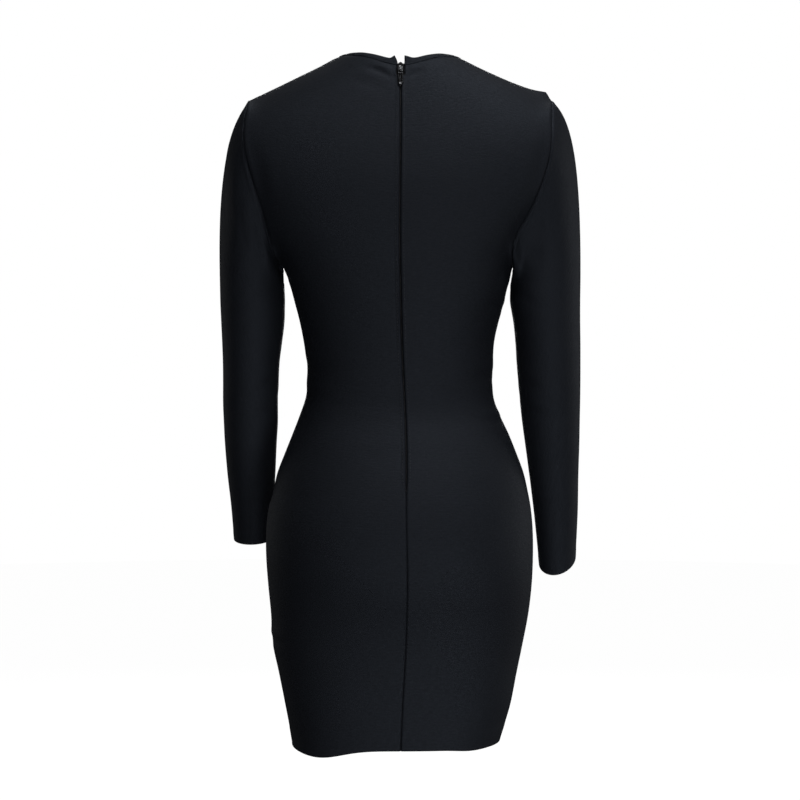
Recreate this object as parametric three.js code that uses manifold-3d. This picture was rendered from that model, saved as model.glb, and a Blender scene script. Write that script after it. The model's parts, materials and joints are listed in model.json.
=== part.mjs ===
// A long-sleeved bodycon mini dress in heavy bandage knit, in its worn shape with nobody in it.
// Lengths are millimetres. +Z is up, the dress faces -Y, its zipped back +Y, and the wearer's left is +X. The
// origin is midway between the two shoulder seams at the neck, where the wearer's shoulders carry the dress.
import * as THREE from 'three';
import Module from 'manifold-3d';

// Cloth and seams
const WALL = 1.6; // thickness of the doubled knit
const SEAM_GAP = 0.3; // room between two sewn pieces
const BINDING_GAP = 0.42; // the same below the neck strip, whose thicker edge leans over it
const TURN_UP = 1.2; // what a turned-up edge adds inside the wall
const HEM_TURN = 24; // height of the skirt hem's turn-up
const CUFF_TURN = 14; // height of a cuff's turn-up
const BINDING = 8; // height of the strip that binds the neck
const BINDING_PROUD = 0.5; // how far that strip stands out from the wall, inside and outside

// Heights that the grid of every panel follows
const HEM_Z = -849;
const UNDERARM_Z = -263;
const TIP_Z = -57; // shoulder tip, where shoulder seam and armhole meet
const V_UNDERARM = 0.6; // share of the way up from hem to neck edge
const V_TIP = 0.85;
const HALF_TURN = Math.PI / 2;

// Turns rows of numbers into rows with named columns.
function table(names, rows) {
  const columns = names.split(' ');
  return rows.map((row) => Object.fromEntries(columns.map((name, i) => [name, row[i]])));
}

// Front-view outline: half-widths to the wearer's left and right. From the underarm to the shoulder tip it
// lies inside the sleeves and gives the panels their roundness, and above that it is the shoulder seam.
const OUTLINE = table('z left right', [
  [-848, 135, 122.5],
  [-830, 138.3, 128.3],
  [-802, 144, 136.4],
  [-765, 151.5, 143.5],
  [-727, 159.4, 151.2],
  [-690, 161.3, 158],
  [-653, 164.6, 162],
  [-616, 166.9, 163.3],
  [-585, 166.6, 162.8],
  [-560, 163.8, 160.6],
  [-541, 158.5, 157.3],
  [-516, 153, 151.7],
  [-491, 143.5, 142.6],
  [-467, 134, 133],
  [-442, 124.5, 121.4],
  [-425, 119, 115.4],
  [-405, 116.8, 113.6],
  [-380, 117, 114.2],
  [-355, 120.6, 115.6],
  [-330, 125.4, 120.8],
  [-306, 131.6, 127.8],
  [-281, 138.9, 133.4],
  [-263, 144.8, 138.2],
  [-245, 159.5, 146],
  [-220, 175.3, 156],
  [-190, 192, 180],
  [-160, 214, 206],
  [-130, 233, 224],
  [-105, 235, 226],
  [-85, 224, 217],
  [-70, 208, 204.5],
  [-57, 186, 185],
  [-49, 168.2, 180],
  [-46, 161.8, 176.5],
  [-44, 157.5, 163],
  [-41, 151.2, 150],
  [-29, 126.8, 122.5],
  [-17, 101.8, 97.5],
  [-9, 87, 82.5],
  [-4, 76.5, 73.5],
  [-2, 70, 68],
]);

// Side-view profile: depth of the centre back, how square each back section is, and where the side seam lies.
const BACK_PROFILE = table('z depth square', [
  [-848, 80, 2.55],
  [-800, 84, 2.5],
  [-740, 91, 2.35],
  [-700, 101, 2.3],
  [-660, 116, 2.25],
  [-625, 125, 2.25],
  [-590, 127, 2.2],
  [-555, 120, 2.15],
  [-520, 107, 2.1],
  [-480, 88, 2.15],
  [-445, 72, 2.2],
  [-410, 65.5, 2.25],
  [-375, 68.5, 2.3],
  [-335, 76, 2.35],
  [-290, 85.5, 2.45],
  [-250, 92, 2.45],
  [-200, 96.5, 2.4],
  [-160, 96.5, 2.35],
  [-120, 90, 2.3],
  [-90, 82.5, 2.2],
  [-60, 73.5, 2.1],
  [-35, 64.5, 2.05],
  [-13, 56, 2],
]);
const FRONT_PROFILE = table('z depth square', [
  [-848, 88, 2.4],
  [-780, 92, 2.35],
  [-700, 97, 2.3],
  [-620, 104, 2.25],
  [-560, 106, 2.2],
  [-500, 103, 2.15],
  [-450, 98, 2.15],
  [-410, 95, 2.2],
  [-370, 98, 2.3],
  [-330, 108, 2.45],
  [-295, 119, 2.55],
  [-262, 124, 2.6],
  [-230, 121, 2.55],
  [-200, 114, 2.45],
  [-170, 104, 2.35],
  [-135, 91, 2.2],
  [-105, 79, 2.1],
  [-78, 69, 2],
]);
const SIDE_SEAM = table('z depth', [
  [-848, 0],
  [-700, 4],
  [-590, 9],
  [-500, 3],
  [-410, -9],
  [-330, -7],
  [-263, -4],
  [-160, -2],
  [-57, 0],
  [-2, 0],
]);

// Grid rows, hem to neck edge: the height at which each meets the side, the centre back and the centre front.
const ROWS = table('v side back front', [
  [0.54, -321.5, -321.5, -321.5],
  [V_UNDERARM, UNDERARM_Z, UNDERARM_Z, UNDERARM_Z],
  [0.66, -206, -206.5, -211],
  [0.72, -152, -153.5, -170],
  [0.78, -103, -107, -140],
  [V_TIP, TIP_Z, -64, -117],
  [0.92, -26, -37, -97],
  [1, -2, -13, -78],
]);
const NECK_SHARPNESS = table('v back front', [
  [0.6, 2, 2],
  [V_TIP, 2, 2],
  [1, 6, 1.15],
]);

// How much lower the neck edge lies on the wearer's right
const NECK_LEAN = 2.2;

// Bust fullness, held out on both sides and bridged between them
const BUST = { x: 84, z: -258, out: 13, wide: 42, high: 58 };

// Centre-back seam: how far it wanders from the middle
const CENTRE_BACK = table('z x', [
  [-848, 0.5],
  [-790, -1.9],
  [-720, -5.6],
  [-640, -7.4],
  [-560, -6.2],
  [-480, -6.2],
  [-430, -4.4],
  [-370, -1.6],
  [-300, 0.4],
  [-220, 1.6],
  [-140, 1],
  [-13, 0.6],
]);

// Armhole seam: its distance from the middle, on each side of the back and of the front
const ARMHOLE = table('z backLeft backRight frontLeft frontRight', [
  [-263, 144.8, 138.2, 144.8, 138.2],
  [-255, 151.5, 136.8, 150.5, 141],
  [-240, 157.5, 135.5, 156, 144.5],
  [-220, 162.5, 142.3, 161.5, 149.5],
  [-190, 170, 159, 168, 158],
  [-160, 179.5, 171, 174, 166],
  [-130, 187.5, 179.6, 178.5, 172],
  [-105, 190.8, 182.3, 181.5, 176.5],
  [-85, 190.5, 182.9, 184, 180.5],
  [-70, 188.6, 183.8, 185.8, 184],
  [-57, 186, 185, 186, 185],
]);

// Back hem: it hangs lower behind each thigh, the left one most. Round the side the dip runs out in front.
const HEM_DIPS = [
  { x: 103, drop: 11.2, wide: 41 },
  { x: -86, drop: 2.2, wide: 22 },
];
const HEM_DIP_FADE = 130;

// Sleeves below the underarm: outer and inner edge, middle depth, half depth, and how far the back of a
// section hangs below its middle, and its outer edge above it
const SLEEVE_LEFT = table('z outer inner middle depth tilt slant', [
  [-285, 224.5, 144.6, -7, 48, 0, 0],
  [-306, 224, 143.9, -6, 47, 0, 0],
  [-330, 223, 144.6, -6, 45.5, 0, 0],
  [-355, 222, 147.7, -7, 44, 0, 0],
  [-380, 221.4, 151, -9, 42, 0.5, 0],
  [-405, 221.5, 152.3, -12, 40, 1, 0],
  [-430, 222, 153.6, -17, 38, 2, 0],
  [-455, 221.6, 154, -23, 36, 3, 0],
  [-480, 221, 155.9, -30, 34, 4, 0],
  [-520, 218.8, 158.3, -41, 31, 5, 0],
  [-560, 215.2, 160.6, -51, 28.5, 5.5, 0],
  [-605, 212.3, 162.5, -62, 26.5, 5.5, -0.8],
]);
const SLEEVE_RIGHT = table('z outer inner middle depth tilt slant', [
  [-285, 222.5, 135.6, -7, 48, 0, 0],
  [-306, 222.2, 135.4, -6, 47, 0, 0],
  [-330, 222.2, 139.4, -5, 45.5, 0, 0],
  [-355, 222.6, 142, -5, 44, 0, 0],
  [-380, 222.8, 143.6, -6, 42, 0.5, 0],
  [-405, 223, 145.8, -8, 40, 1, 0],
  [-430, 223, 148.2, -11, 38, 2.5, 0],
  [-455, 222.9, 151.2, -15, 36, 4, 0],
  [-480, 222.9, 154.8, -19, 34, 6, 0],
  [-520, 222.4, 160.6, -26, 31, 9, 0],
  [-570, 222.4, 167.6, -34, 28, 12, 3],
  [-631, 220.5, 174.5, -42, 25, 15, 5.5],
]);
const CAP = {
  left: { outward: 0.63, start: 0.79 },
  right: { outward: 1, start: 0.56 },
  finish: 1.04,
  standOff: 0.4,
};

// Zip: an invisible one, from the neck edge to the seat
const ZIP_END_Z = -531;
const TAPE = { inner: 0.5, outer: 12.5, thick: 0.8, tail: 20 };
const CHAIN = { half: 2.1, thick: 1.4 };
const NOTCH = table('below left right', [
  [0, 6.9, 4.7],
  [3, 4.3, 4.7],
  [6, 3.3, 4.6],
  [8, 3.4, 4.3],
  [9.5, 3.9, 4],
  [20.5, 3.9, 3.9],
  [22.3, 1, 1],
  [24, 0.15, 0.15],
  [40, 0.15, 0.15],
]);
// Corners of the binding that stand up beside the zip
const PEAK = { left: { rise: 4.2, wide: 4 }, right: { rise: 4.6, wide: 8 } };
const SLIDER = { below: 15.2, wide: 7, long: 10.4, thick: 2.8, proud: 1.2, foot: 5 };
const BAIL = { wide: 2.4, strip: 0.8, tunnel: 2, length: 3.4, below: 0.2 };
const TAB = { bar: 1.1, wide: 6.9, tip: 6, long: 20.6, thick: 1.2, window: 3.4, windowLong: 3.6, lean: 1.8 };

// Cubic interpolation of one column of a table, straight on past both ends.
function curve(rows, by, column) {
  const at = rows.map((row) => row[by]);
  const value = rows.map((row) => row[column]);
  const last = rows.length - 1;
  const slope = at.map((_, i) => {
    const before = Math.max(0, i - 1);
    const after = Math.min(last, i + 1);
    return (value[after] - value[before]) / (at[after] - at[before]);
  });
  return (x) => {
    if (x <= at[0]) return value[0] + slope[0] * (x - at[0]);
    if (x >= at[last]) return value[last] + slope[last] * (x - at[last]);
    let i = 0;
    while (x > at[i + 1]) i += 1;
    const span = at[i + 1] - at[i];
    const t = (x - at[i]) / span;
    const start = value[i] * (1 + 2 * t) * (1 - t) ** 2 + slope[i] * span * t * (1 - t) ** 2;
    const end = value[i + 1] * t * t * (3 - 2 * t) + slope[i + 1] * span * t * t * (t - 1);
    return start + end;
  };
}

const outline = { left: curve(OUTLINE, 'z', 'left'), right: curve(OUTLINE, 'z', 'right') };
const profile = {
  back: { depth: curve(BACK_PROFILE, 'z', 'depth'), square: curve(BACK_PROFILE, 'z', 'square') },
  front: { depth: curve(FRONT_PROFILE, 'z', 'depth'), square: curve(FRONT_PROFILE, 'z', 'square') },
};
const sideSeamDepth = curve(SIDE_SEAM, 'z', 'depth');
const rowHeight = {
  side: curve(ROWS, 'v', 'side'),
  back: curve(ROWS, 'v', 'back'),
  front: curve(ROWS, 'v', 'front'),
};
const neckSharpness = {
  back: curve(NECK_SHARPNESS, 'v', 'back'),
  front: curve(NECK_SHARPNESS, 'v', 'front'),
};
const centreBack = curve(CENTRE_BACK, 'z', 'x');
const armhole = {
  back: { left: curve(ARMHOLE, 'z', 'backLeft'), right: curve(ARMHOLE, 'z', 'backRight') },
  front: { left: curve(ARMHOLE, 'z', 'frontLeft'), right: curve(ARMHOLE, 'z', 'frontRight') },
};
const notch = { left: curve(NOTCH, 'below', 'left'), right: curve(NOTCH, 'below', 'right') };

// Height of grid row v at the side, the centre back or the centre front. Below the underarm rows are level.
function heightOf(place, v) {
  if (v < V_UNDERARM) return HEM_Z + ((UNDERARM_Z - HEM_Z) * v) / V_UNDERARM;
  return rowHeight[place](v);
}

// Grid row between underarm and shoulder tip whose side lies at a given height.
function rowAt(z) {
  let low = V_UNDERARM;
  let high = V_TIP;
  for (let i = 0; i < 40; i += 1) {
    const middle = (low + high) / 2;
    if (rowHeight.side(middle) < z) low = middle;
    else high = middle;
  }
  return (low + high) / 2;
}

function bell(x) {
  return Math.exp(-x * x);
}

// One section of the dress: its half-width, depth and squareness, for the face and the side of that angle.
function section(face, angle, v) {
  const sideZ = heightOf('side', v);
  const centreZ = heightOf(face, v);
  const seam = sideSeamDepth(sideZ);
  const reach = profile[face].depth(centreZ) + (face === 'back' ? -seam : seam);
  const half = outline[angle >= 0 ? 'left' : 'right'](sideZ);
  return { sideZ, centreZ, seam, reach, half, square: profile[face].square(centreZ) };
}

// Distance from the section's middle to its outline, at an angle from the centre line.
function radius(cut, angle) {
  const across = (Math.abs(Math.sin(angle)) / cut.half) ** cut.square;
  const along = (Math.abs(Math.cos(angle)) / cut.reach) ** cut.square;
  return (across + along) ** (-1 / cut.square);
}

// A point on the outside of the dress: angle 0 is the centre line, a quarter turn either way the side.
function bodyPoint(face, angle, v) {
  const cut = section(face, angle, v);
  const r = radius(cut, angle);
  const x = r * Math.sin(angle);
  let depth = r * Math.cos(angle);
  let z = cut.sideZ + (cut.centreZ - cut.sideZ) * Math.max(0, Math.cos(angle)) ** neckSharpness[face](v);
  if (angle < 0 && v > V_TIP) z -= NECK_LEAN * (Math.sin(angle) * (v - V_TIP) / (1 - V_TIP)) ** 2;
  if (face === 'front') {
    depth += BUST.out * bell((Math.abs(x) - BUST.x) / BUST.wide) * bell((z - BUST.z) / BUST.high);
  }
  const reach = face === 'front' ? Math.sin(angle) ** 4 : 1;
  const fade = reach * Math.max(0, 1 - (z - HEM_Z) / HEM_DIP_FADE) ** 2;
  for (const dip of HEM_DIPS) z -= dip.drop * bell((x - dip.x) / dip.wide) * fade;
  return new THREE.Vector3(x, cut.seam + (face === 'back' ? depth : -depth), z);
}

// Outward normal of the dress, from points a little to each side. Where front and back meet it has no
// lean towards either of them, which keeps the two walls apart.
function bodyNormal(face, angle, v) {
  const step = 1e-3;
  const across = bodyPoint(face, angle + step, v).sub(bodyPoint(face, angle - step, v));
  const up = bodyPoint(face, angle, v + step).sub(bodyPoint(face, angle, v - step));
  const normal = face === 'back' ? up.cross(across) : across.cross(up);
  if (HALF_TURN - Math.abs(angle) < 0.01) normal.setY(0);
  return normal.normalize();
}

// Angle at which a section reaches a given distance from the middle.
function angleAt(face, x, v) {
  const side = Math.sign(x) || 1;
  let low = 0;
  let high = HALF_TURN;
  for (let i = 0; i < 40; i += 1) {
    const middle = (low + high) / 2;
    const cut = section(face, side * middle, v);
    if (radius(cut, middle) * Math.sin(middle) < Math.abs(x)) low = middle;
    else high = middle;
  }
  return side * low;
}

// Angle of a panel's outer edge: side seam, armhole or shoulder seam.
function sideAngle(face, side, v) {
  const sideZ = heightOf('side', v);
  const cut = section(face, side, v);
  const edge = HALF_TURN - SEAM_GAP / 2 / cut.reach;
  if (sideZ <= UNDERARM_Z || sideZ >= TIP_Z) return side * edge;
  const seam = armhole[face][side > 0 ? 'left' : 'right'](sideZ);
  return side * Math.min(edge, Math.abs(angleAt(face, side * seam, v)));
}

// Row that lies a given distance below the neck edge.
function belowNeck(face, angle, distance) {
  const step = 1e-3;
  const speed = bodyPoint(face, angle, 1).distanceTo(bodyPoint(face, angle, 1 - step)) / step;
  return 1 - distance / speed;
}

// Angle of a back panel's edge at the centre back, which opens into a notch above the zip's slider.
function centreAngle(side, v) {
  const z = heightOf('back', v);
  const below = bodyPoint('back', 0, 1).distanceTo(bodyPoint('back', 0, v));
  const name = side > 0 ? 'left' : 'right';
  const half = v > V_TIP && below < 24 ? notch[name](below) : SEAM_GAP / 2;
  return angleAt('back', centreBack(z) + side * half, v);
}

// Closes a grid of outer and inner points into one solid wall. grid[j][i] = { out, in }.
function wall(grid, closed) {
  const rows = grid.length;
  const columns = grid[0].length;
  const points = [];
  const faces = [];
  grid.forEach((row) => row.forEach((cell) => points.push(cell.out, cell.in)));
  const outer = (j, i) => 2 * (j * columns + (i % columns));
  const inner = (j, i) => outer(j, i) + 1;
  const quad = (a, b, c, d) => faces.push(a, b, c, a, c, d);
  const across = closed ? columns : columns - 1;
  for (let j = 0; j < rows - 1; j += 1) {
    for (let i = 0; i < across; i += 1) {
      quad(outer(j, i), outer(j, i + 1), outer(j + 1, i + 1), outer(j + 1, i));
      quad(inner(j, i), inner(j + 1, i), inner(j + 1, i + 1), inner(j, i + 1));
    }
  }
  for (let i = 0; i < across; i += 1) {
    quad(inner(0, i), inner(0, i + 1), outer(0, i + 1), outer(0, i));
    quad(outer(rows - 1, i), outer(rows - 1, i + 1), inner(rows - 1, i + 1), inner(rows - 1, i));
  }
  if (!closed) {
    for (let j = 0; j < rows - 1; j += 1) {
      quad(outer(j, 0), outer(j + 1, 0), inner(j + 1, 0), inner(j, 0));
      const last = columns - 1;
      quad(inner(j, last), inner(j + 1, last), outer(j + 1, last), outer(j, last));
    }
  }
  const geometry = new THREE.BufferGeometry();
  geometry.setAttribute('position', new THREE.Float32BufferAttribute(points.flatMap((p) => p.toArray()), 3));
  geometry.setIndex(faces);
  geometry.computeVertexNormals();
  return volume(geometry) < 0 ? turnedOut(geometry) : geometry;
}

function volume(geometry) {
  const at = geometry.getAttribute('position');
  const index = geometry.getIndex();
  const corner = [0, 1, 2].map(() => new THREE.Vector3());
  let sum = 0;
  for (let i = 0; i < index.count; i += 3) {
    corner.forEach((p, k) => p.fromBufferAttribute(at, index.getX(i + k)));
    sum += corner[0].dot(corner[1].clone().cross(corner[2])) / 6;
  }
  return sum;
}

function turnedOut(geometry) {
  const index = Array.from(geometry.getIndex().array);
  for (let i = 0; i < index.length; i += 3) [index[i + 1], index[i + 2]] = [index[i + 2], index[i + 1]];
  geometry.setIndex(index);
  geometry.computeVertexNormals();
  return geometry;
}

const range = (count, from = 0, to = 1) =>
  Array.from({ length: count + 1 }, (_, i) => from + ((to - from) * i) / count);

// Row of the armhole seam for a turn round the sleeve: none at the shoulder tip, half a turn at the underarm.
function armholeRow(turn) {
  return rowAt(TIP_Z + ((UNDERARM_Z - TIP_Z) * (1 - Math.cos(turn))) / 2);
}

// Rows of a panel: the hem's turn-up, the skirt and bodice, the armhole, and the shoulder seam and neck.
const ARMHOLE_STEPS = 14;
const SHOULDER_ROWS = [0.866, 0.876, 0.892, 0.925, 0.962, 1];
const FRONT_COLUMNS = 26;
const BACK_COLUMNS = 13;
const hemTurnV = (V_UNDERARM * HEM_TURN) / (UNDERARM_Z - HEM_Z);
const PANEL_ROWS = [
  0,
  hemTurnV,
  ...range(22, hemTurnV * 1.06, V_UNDERARM),
  ...range(ARMHOLE_STEPS, Math.PI, 0).slice(1, -1).map(armholeRow),
  V_TIP,
  ...SHOULDER_ROWS,
];

// Draws the rows above the shoulder tip down, so that the last one ends a given distance below the neck edge.
function drawnDown(row, face, angle, distance) {
  if (row <= V_TIP) return row;
  const top = belowNeck(face, angle, distance);
  return V_TIP + ((row - V_TIP) * (top - V_TIP)) / (1 - V_TIP);
}

// A panel of the dress between two edges, each given as a function of the row.
function panel(face, from, to, columns) {
  const grid = PANEL_ROWS.map((row) =>
    range(columns).map((share) => {
      const upright = THREE.MathUtils.lerp(from(row), to(row), share);
      const v = drawnDown(row, face, upright, BINDING + BINDING_GAP);
      const angle = THREE.MathUtils.lerp(from(v), to(v), share);
      const out = bodyPoint(face, angle, v);
      const thick = WALL + (row <= hemTurnV ? TURN_UP : 0);
      return { out, in: out.clone().addScaledVector(bodyNormal(face, angle, v), -thick) };
    }),
  );
  return wall(grid, false);
}

// The strip round the neck, from one side of the zip across the front to the other.
function neckBinding() {
  const endAngle = (side, below) => {
    const v = belowNeck('back', 0, below);
    const half = notch[side > 0 ? 'left' : 'right'](below);
    return angleAt('back', centreBack(heightOf('back', v)) + side * half, v);
  };
  const stretch = (face, from, to, count) => range(count).map((share) => ({ face, from, to, share }));
  const stations = [
    ...stretch('back', (below) => endAngle(1, below), () => HALF_TURN, BACK_COLUMNS),
    ...stretch('front', () => HALF_TURN, () => -HALF_TURN, FRONT_COLUMNS).slice(1),
    ...stretch('back', () => -HALF_TURN, (below) => endAngle(-1, below), BACK_COLUMNS).slice(1),
  ];
  const grid = [BINDING, BINDING / 2, 0].map((below) =>
    stations.map(({ face, from, to, share }) => {
      const angle = THREE.MathUtils.lerp(from(below), to(below), share);
      const v = belowNeck(face, angle, below);
      const at = bodyPoint(face, angle, v);
      const normal = bodyNormal(face, angle, v);
      const end = bodyPoint('back', endAngle(Math.sign(angle), below), v);
      const peak = angle > 0 ? PEAK.left : PEAK.right;
      if (face === 'back' && below === 0) at.z += peak.rise * bell(at.distanceTo(end) / peak.wide);
      return {
        out: at.clone().addScaledVector(normal, BINDING_PROUD),
        in: at.clone().addScaledVector(normal, -WALL - BINDING_PROUD),
      };
    }),
  );
  return wall(grid, false);
}

// Armhole seam point for a turn round the sleeve, which runs from the shoulder tip down the back.
function armholePoint(side, turn) {
  const face = Math.sin(turn) >= 0 ? 'back' : 'front';
  const v = armholeRow(turn);
  const angle = sideAngle(face, side, v);
  return { at: bodyPoint(face, angle, v), normal: bodyNormal(face, angle, v) };
}

// A point on the sleeve below the cap.
const SLEEVE_COLUMNS = ['outer', 'inner', 'middle', 'depth', 'tilt', 'slant'];
function armPoint(side, rows, turn, z) {
  const [outer, inner, middle, depth, tilt, slant] = SLEEVE_COLUMNS.map((name) => rows[name](z));
  const x = (outer + inner) / 2 + ((outer - inner) / 2) * Math.cos(turn);
  const low = z - tilt * Math.sin(turn) + slant * Math.cos(turn);
  return new THREE.Vector3(side * x, middle + depth * Math.sin(turn), low);
}

// Where a sleeve's cap leaves the armhole, and in what direction.
function capStart(side, turn) {
  const { at, normal } = armholePoint(side, turn);
  const step = 0.02;
  const along = armholePoint(side, turn + step).at.sub(armholePoint(side, turn - step).at);
  const away = along.clone().cross(normal).multiplyScalar(side).normalize();
  const { outward } = side > 0 ? CAP.left : CAP.right;
  const share = (outward * (1 + Math.cos(turn))) / 2;
  const seam = along.clone().normalize();
  const down = new THREE.Vector3(0, 0, -1).addScaledVector(seam, seam.z);
  const way = away.clone().multiplyScalar(share).addScaledVector(down, 1 - share).normalize();
  const under = Math.max(0, -Math.cos(turn));
  const from = at.clone().addScaledVector(away, SEAM_GAP * (1 - under));
  from.addScaledVector(normal, CAP.standOff * under);
  return { from, way, normal };
}

// A point on a sleeve: t runs from 0 at the armhole to 1 at the end of the cap, then on to 2 at the cuff.
function sleevePoint(side, rows, turn, t) {
  const top = rows.top;
  if (t > 1) return armPoint(side, rows, turn, top + (rows.bottom - top) * (t - 1));
  const { from, way } = capStart(side, turn);
  const to = armPoint(side, rows, turn, top);
  const onward = armPoint(side, rows, turn, top - 1).sub(to);
  const length = from.distanceTo(to);
  const { start } = side > 0 ? CAP.left : CAP.right;
  const s = Math.max(0, t);
  const point = from.clone().multiplyScalar((1 + 2 * s) * (1 - s) ** 2);
  point.addScaledVector(way, length * start * s * (1 - s) ** 2);
  point.addScaledVector(to, s * s * (3 - 2 * s));
  return point.addScaledVector(onward, length * CAP.finish * s * s * (s - 1));
}

function sleeveNormal(side, rows, turn, t) {
  const step = 1e-3;
  const around = sleevePoint(side, rows, turn + step, t).sub(sleevePoint(side, rows, turn - step, t));
  const before = Math.max(0, t - step);
  const down = sleevePoint(side, rows, turn, t + step).sub(sleevePoint(side, rows, turn, before));
  return down.cross(around).multiplyScalar(side).normalize();
}

function sleeve(side, sizes) {
  const rising = [...sizes].reverse();
  const rows = Object.fromEntries(SLEEVE_COLUMNS.map((name) => [name, curve(rising, 'z', name)]));
  rows.top = sizes[0].z;
  rows.bottom = rising[0].z;
  const turnUp = 2 - CUFF_TURN / (rows.top - rows.bottom);
  const levels = [...range(9), ...range(9, 1, turnUp - 0.004).slice(1), turnUp, 2];
  const grid = levels.map((t) =>
    range(2 * ARMHOLE_STEPS, 0, 2 * Math.PI).slice(0, -1).map((turn) => {
      const out = sleevePoint(side, rows, turn, t);
      let normal = sleeveNormal(side, rows, turn, t);
      if (t === 0) {
        const start = capStart(side, turn);
        if (start.way.dot(start.normal) < 0) normal = start.normal;
      }
      const thick = WALL + (t >= turnUp ? TURN_UP : 0);
      return { out, in: out.clone().addScaledVector(normal, -thick) };
    }),
  );
  return wall(grid, true);
}

// A strip that lies inside the back along the zip, between two distances from the centre-back seam.
function zipStrip(fromX, toX, inside, thick, topBelow, bottomZ) {
  const bottom = (V_UNDERARM * (bottomZ - HEM_Z)) / (UNDERARM_Z - HEM_Z);
  const grid = PANEL_ROWS.filter((row) => row > bottom).map((row) =>
    [fromX, toX].map((x) => {
      const v = drawnDown(row, 'back', 0, topBelow);
      const angle = angleAt('back', centreBack(heightOf('back', v)) + x, v);
      const at = bodyPoint('back', angle, v);
      const normal = bodyNormal('back', angle, v);
      return {
        out: at.clone().addScaledVector(normal, -inside),
        in: at.clone().addScaledVector(normal, -inside - thick),
      };
    }),
  );
  return wall(grid, false);
}

const wasm = await Module();
wasm.setup();

function solid(geometry) {
  const at = geometry.getAttribute('position');
  const keys = new Map();
  const points = [];
  const corners = [];
  const source = geometry.getIndex();
  const count = source ? source.count : at.count;
  for (let i = 0; i < count; i += 1) {
    const k = source ? source.getX(i) : i;
    const p = [at.getX(k), at.getY(k), at.getZ(k)];
    const key = p.map((c) => c.toFixed(4)).join(' ');
    if (!keys.has(key)) {
      keys.set(key, points.length / 3);
      points.push(...p);
    }
    corners.push(keys.get(key));
  }
  const vertProperties = new Float32Array(points);
  return new wasm.Manifold(new wasm.Mesh({ numProp: 3, vertProperties, triVerts: new Uint32Array(corners) }));
}

function geometryOf(made) {
  const mesh = made.getMesh();
  const geometry = new THREE.BufferGeometry();
  geometry.setAttribute('position', new THREE.BufferAttribute(new Float32Array(mesh.vertProperties), 3));
  geometry.setIndex(Array.from(mesh.triVerts));
  geometry.computeVertexNormals();
  return geometry;
}

// An outline drawn in x and z, made solid from one depth to another along y.
function slab(shape, fromY, toY, bevel = 0) {
  const geometry = new THREE.ExtrudeGeometry(shape, {
    depth: toY - fromY - 2 * bevel,
    curveSegments: 6,
    bevelEnabled: bevel > 0,
    bevelSize: bevel,
    bevelThickness: bevel,
    bevelOffset: -bevel,
    bevelSegments: 1,
  });
  geometry.rotateX(HALF_TURN);
  return geometry.translate(0, toY - bevel, 0);
}

// The slider's body: a shield with a round nose, which narrows to its foot.
function sliderBody() {
  const { wide, long, foot } = SLIDER;
  const half = wide / 2;
  const shape = new THREE.Shape();
  shape.moveTo(-foot / 2, -long / 2);
  shape.lineTo(foot / 2, -long / 2);
  shape.lineTo(half, 0);
  shape.quadraticCurveTo(half, long / 2 - 1, 1.4, long / 2);
  shape.quadraticCurveTo(0, long / 2 + 2.6, -1.4, long / 2);
  shape.quadraticCurveTo(-half, long / 2 - 1, -half, 0);
  return slab(shape, SLIDER.proud - SLIDER.thick, SLIDER.proud, 0.4);
}

// The bail on the slider's face: an arch along the zip, whose tunnel holds the pull tab's bar.
function sliderBail() {
  const { strip, tunnel, length, wide, below } = BAIL;
  const long = length + 2 * strip;
  const high = tunnel + strip;
  const shape = new THREE.Shape();
  shape.moveTo(-long / 2, -0.5);
  shape.lineTo(long / 2, -0.5);
  shape.lineTo(long / 2, high - 0.8);
  shape.lineTo(long / 2 - 0.8, high);
  shape.lineTo(-long / 2 + 0.8, high);
  shape.lineTo(-long / 2, high - 0.8);
  const hole = new THREE.Path();
  hole.moveTo(-length / 2, 0);
  hole.lineTo(-length / 2, tunnel);
  hole.lineTo(length / 2, tunnel);
  hole.lineTo(length / 2, 0);
  shape.holes.push(hole);
  const geometry = new THREE.ExtrudeGeometry(shape, { depth: wide, steps: 1, bevelEnabled: false });
  geometry.translate(0, 0, -wide / 2);
  // The arch is drawn along x and up y; turned, it runs down the zip and out from the slider's face.
  geometry.applyMatrix4(new THREE.Matrix4().makeBasis(
    new THREE.Vector3(0, 0, -1),
    new THREE.Vector3(0, 1, 0),
    new THREE.Vector3(1, 0, 0),
  ));
  return geometry.translate(0, SLIDER.proud, -below);
}

// The pull tab, with its bar at the origin and hanging down -z.
function pullTab() {
  const { wide, tip, long, thick, window: gap, windowLong, bar } = TAB;
  const shape = new THREE.Shape();
  shape.moveTo(-wide / 2, 0);
  shape.lineTo(-wide / 2, -windowLong - 1);
  shape.lineTo(-tip / 2, -long + tip / 2);
  shape.absarc(0, -long + tip / 2, tip / 2, Math.PI, 2 * Math.PI, false);
  shape.lineTo(wide / 2, -windowLong - 1);
  shape.lineTo(wide / 2, 0);
  shape.lineTo(gap / 2, 0);
  shape.lineTo(gap / 2, -windowLong);
  shape.lineTo(-gap / 2, -windowLong);
  shape.lineTo(-gap / 2, 0);
  const plate = solid(slab(shape, -thick / 2, thick / 2));
  const rod = new THREE.CylinderGeometry(bar / 2, bar / 2, wide, 10).rotateZ(HALF_TURN);
  return geometryOf(plate.add(solid(rod)));
}

// Frame of the zip at the slider: across, out from the cloth, and up along the zip.
function zipFrame(below) {
  const v = belowNeck('back', 0, below);
  const angle = angleAt('back', centreBack(heightOf('back', v)), v);
  const group = new THREE.Group();
  const across = new THREE.Vector3(1, 0, 0);
  const up = bodyPoint('back', angle, v + 0.01).sub(bodyPoint('back', angle, v - 0.01)).setX(0).normalize();
  const out = up.clone().cross(across).normalize();
  group.applyMatrix4(new THREE.Matrix4().makeBasis(across, out, up));
  group.position.copy(bodyPoint('back', angle, v));
  return group;
}

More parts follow.
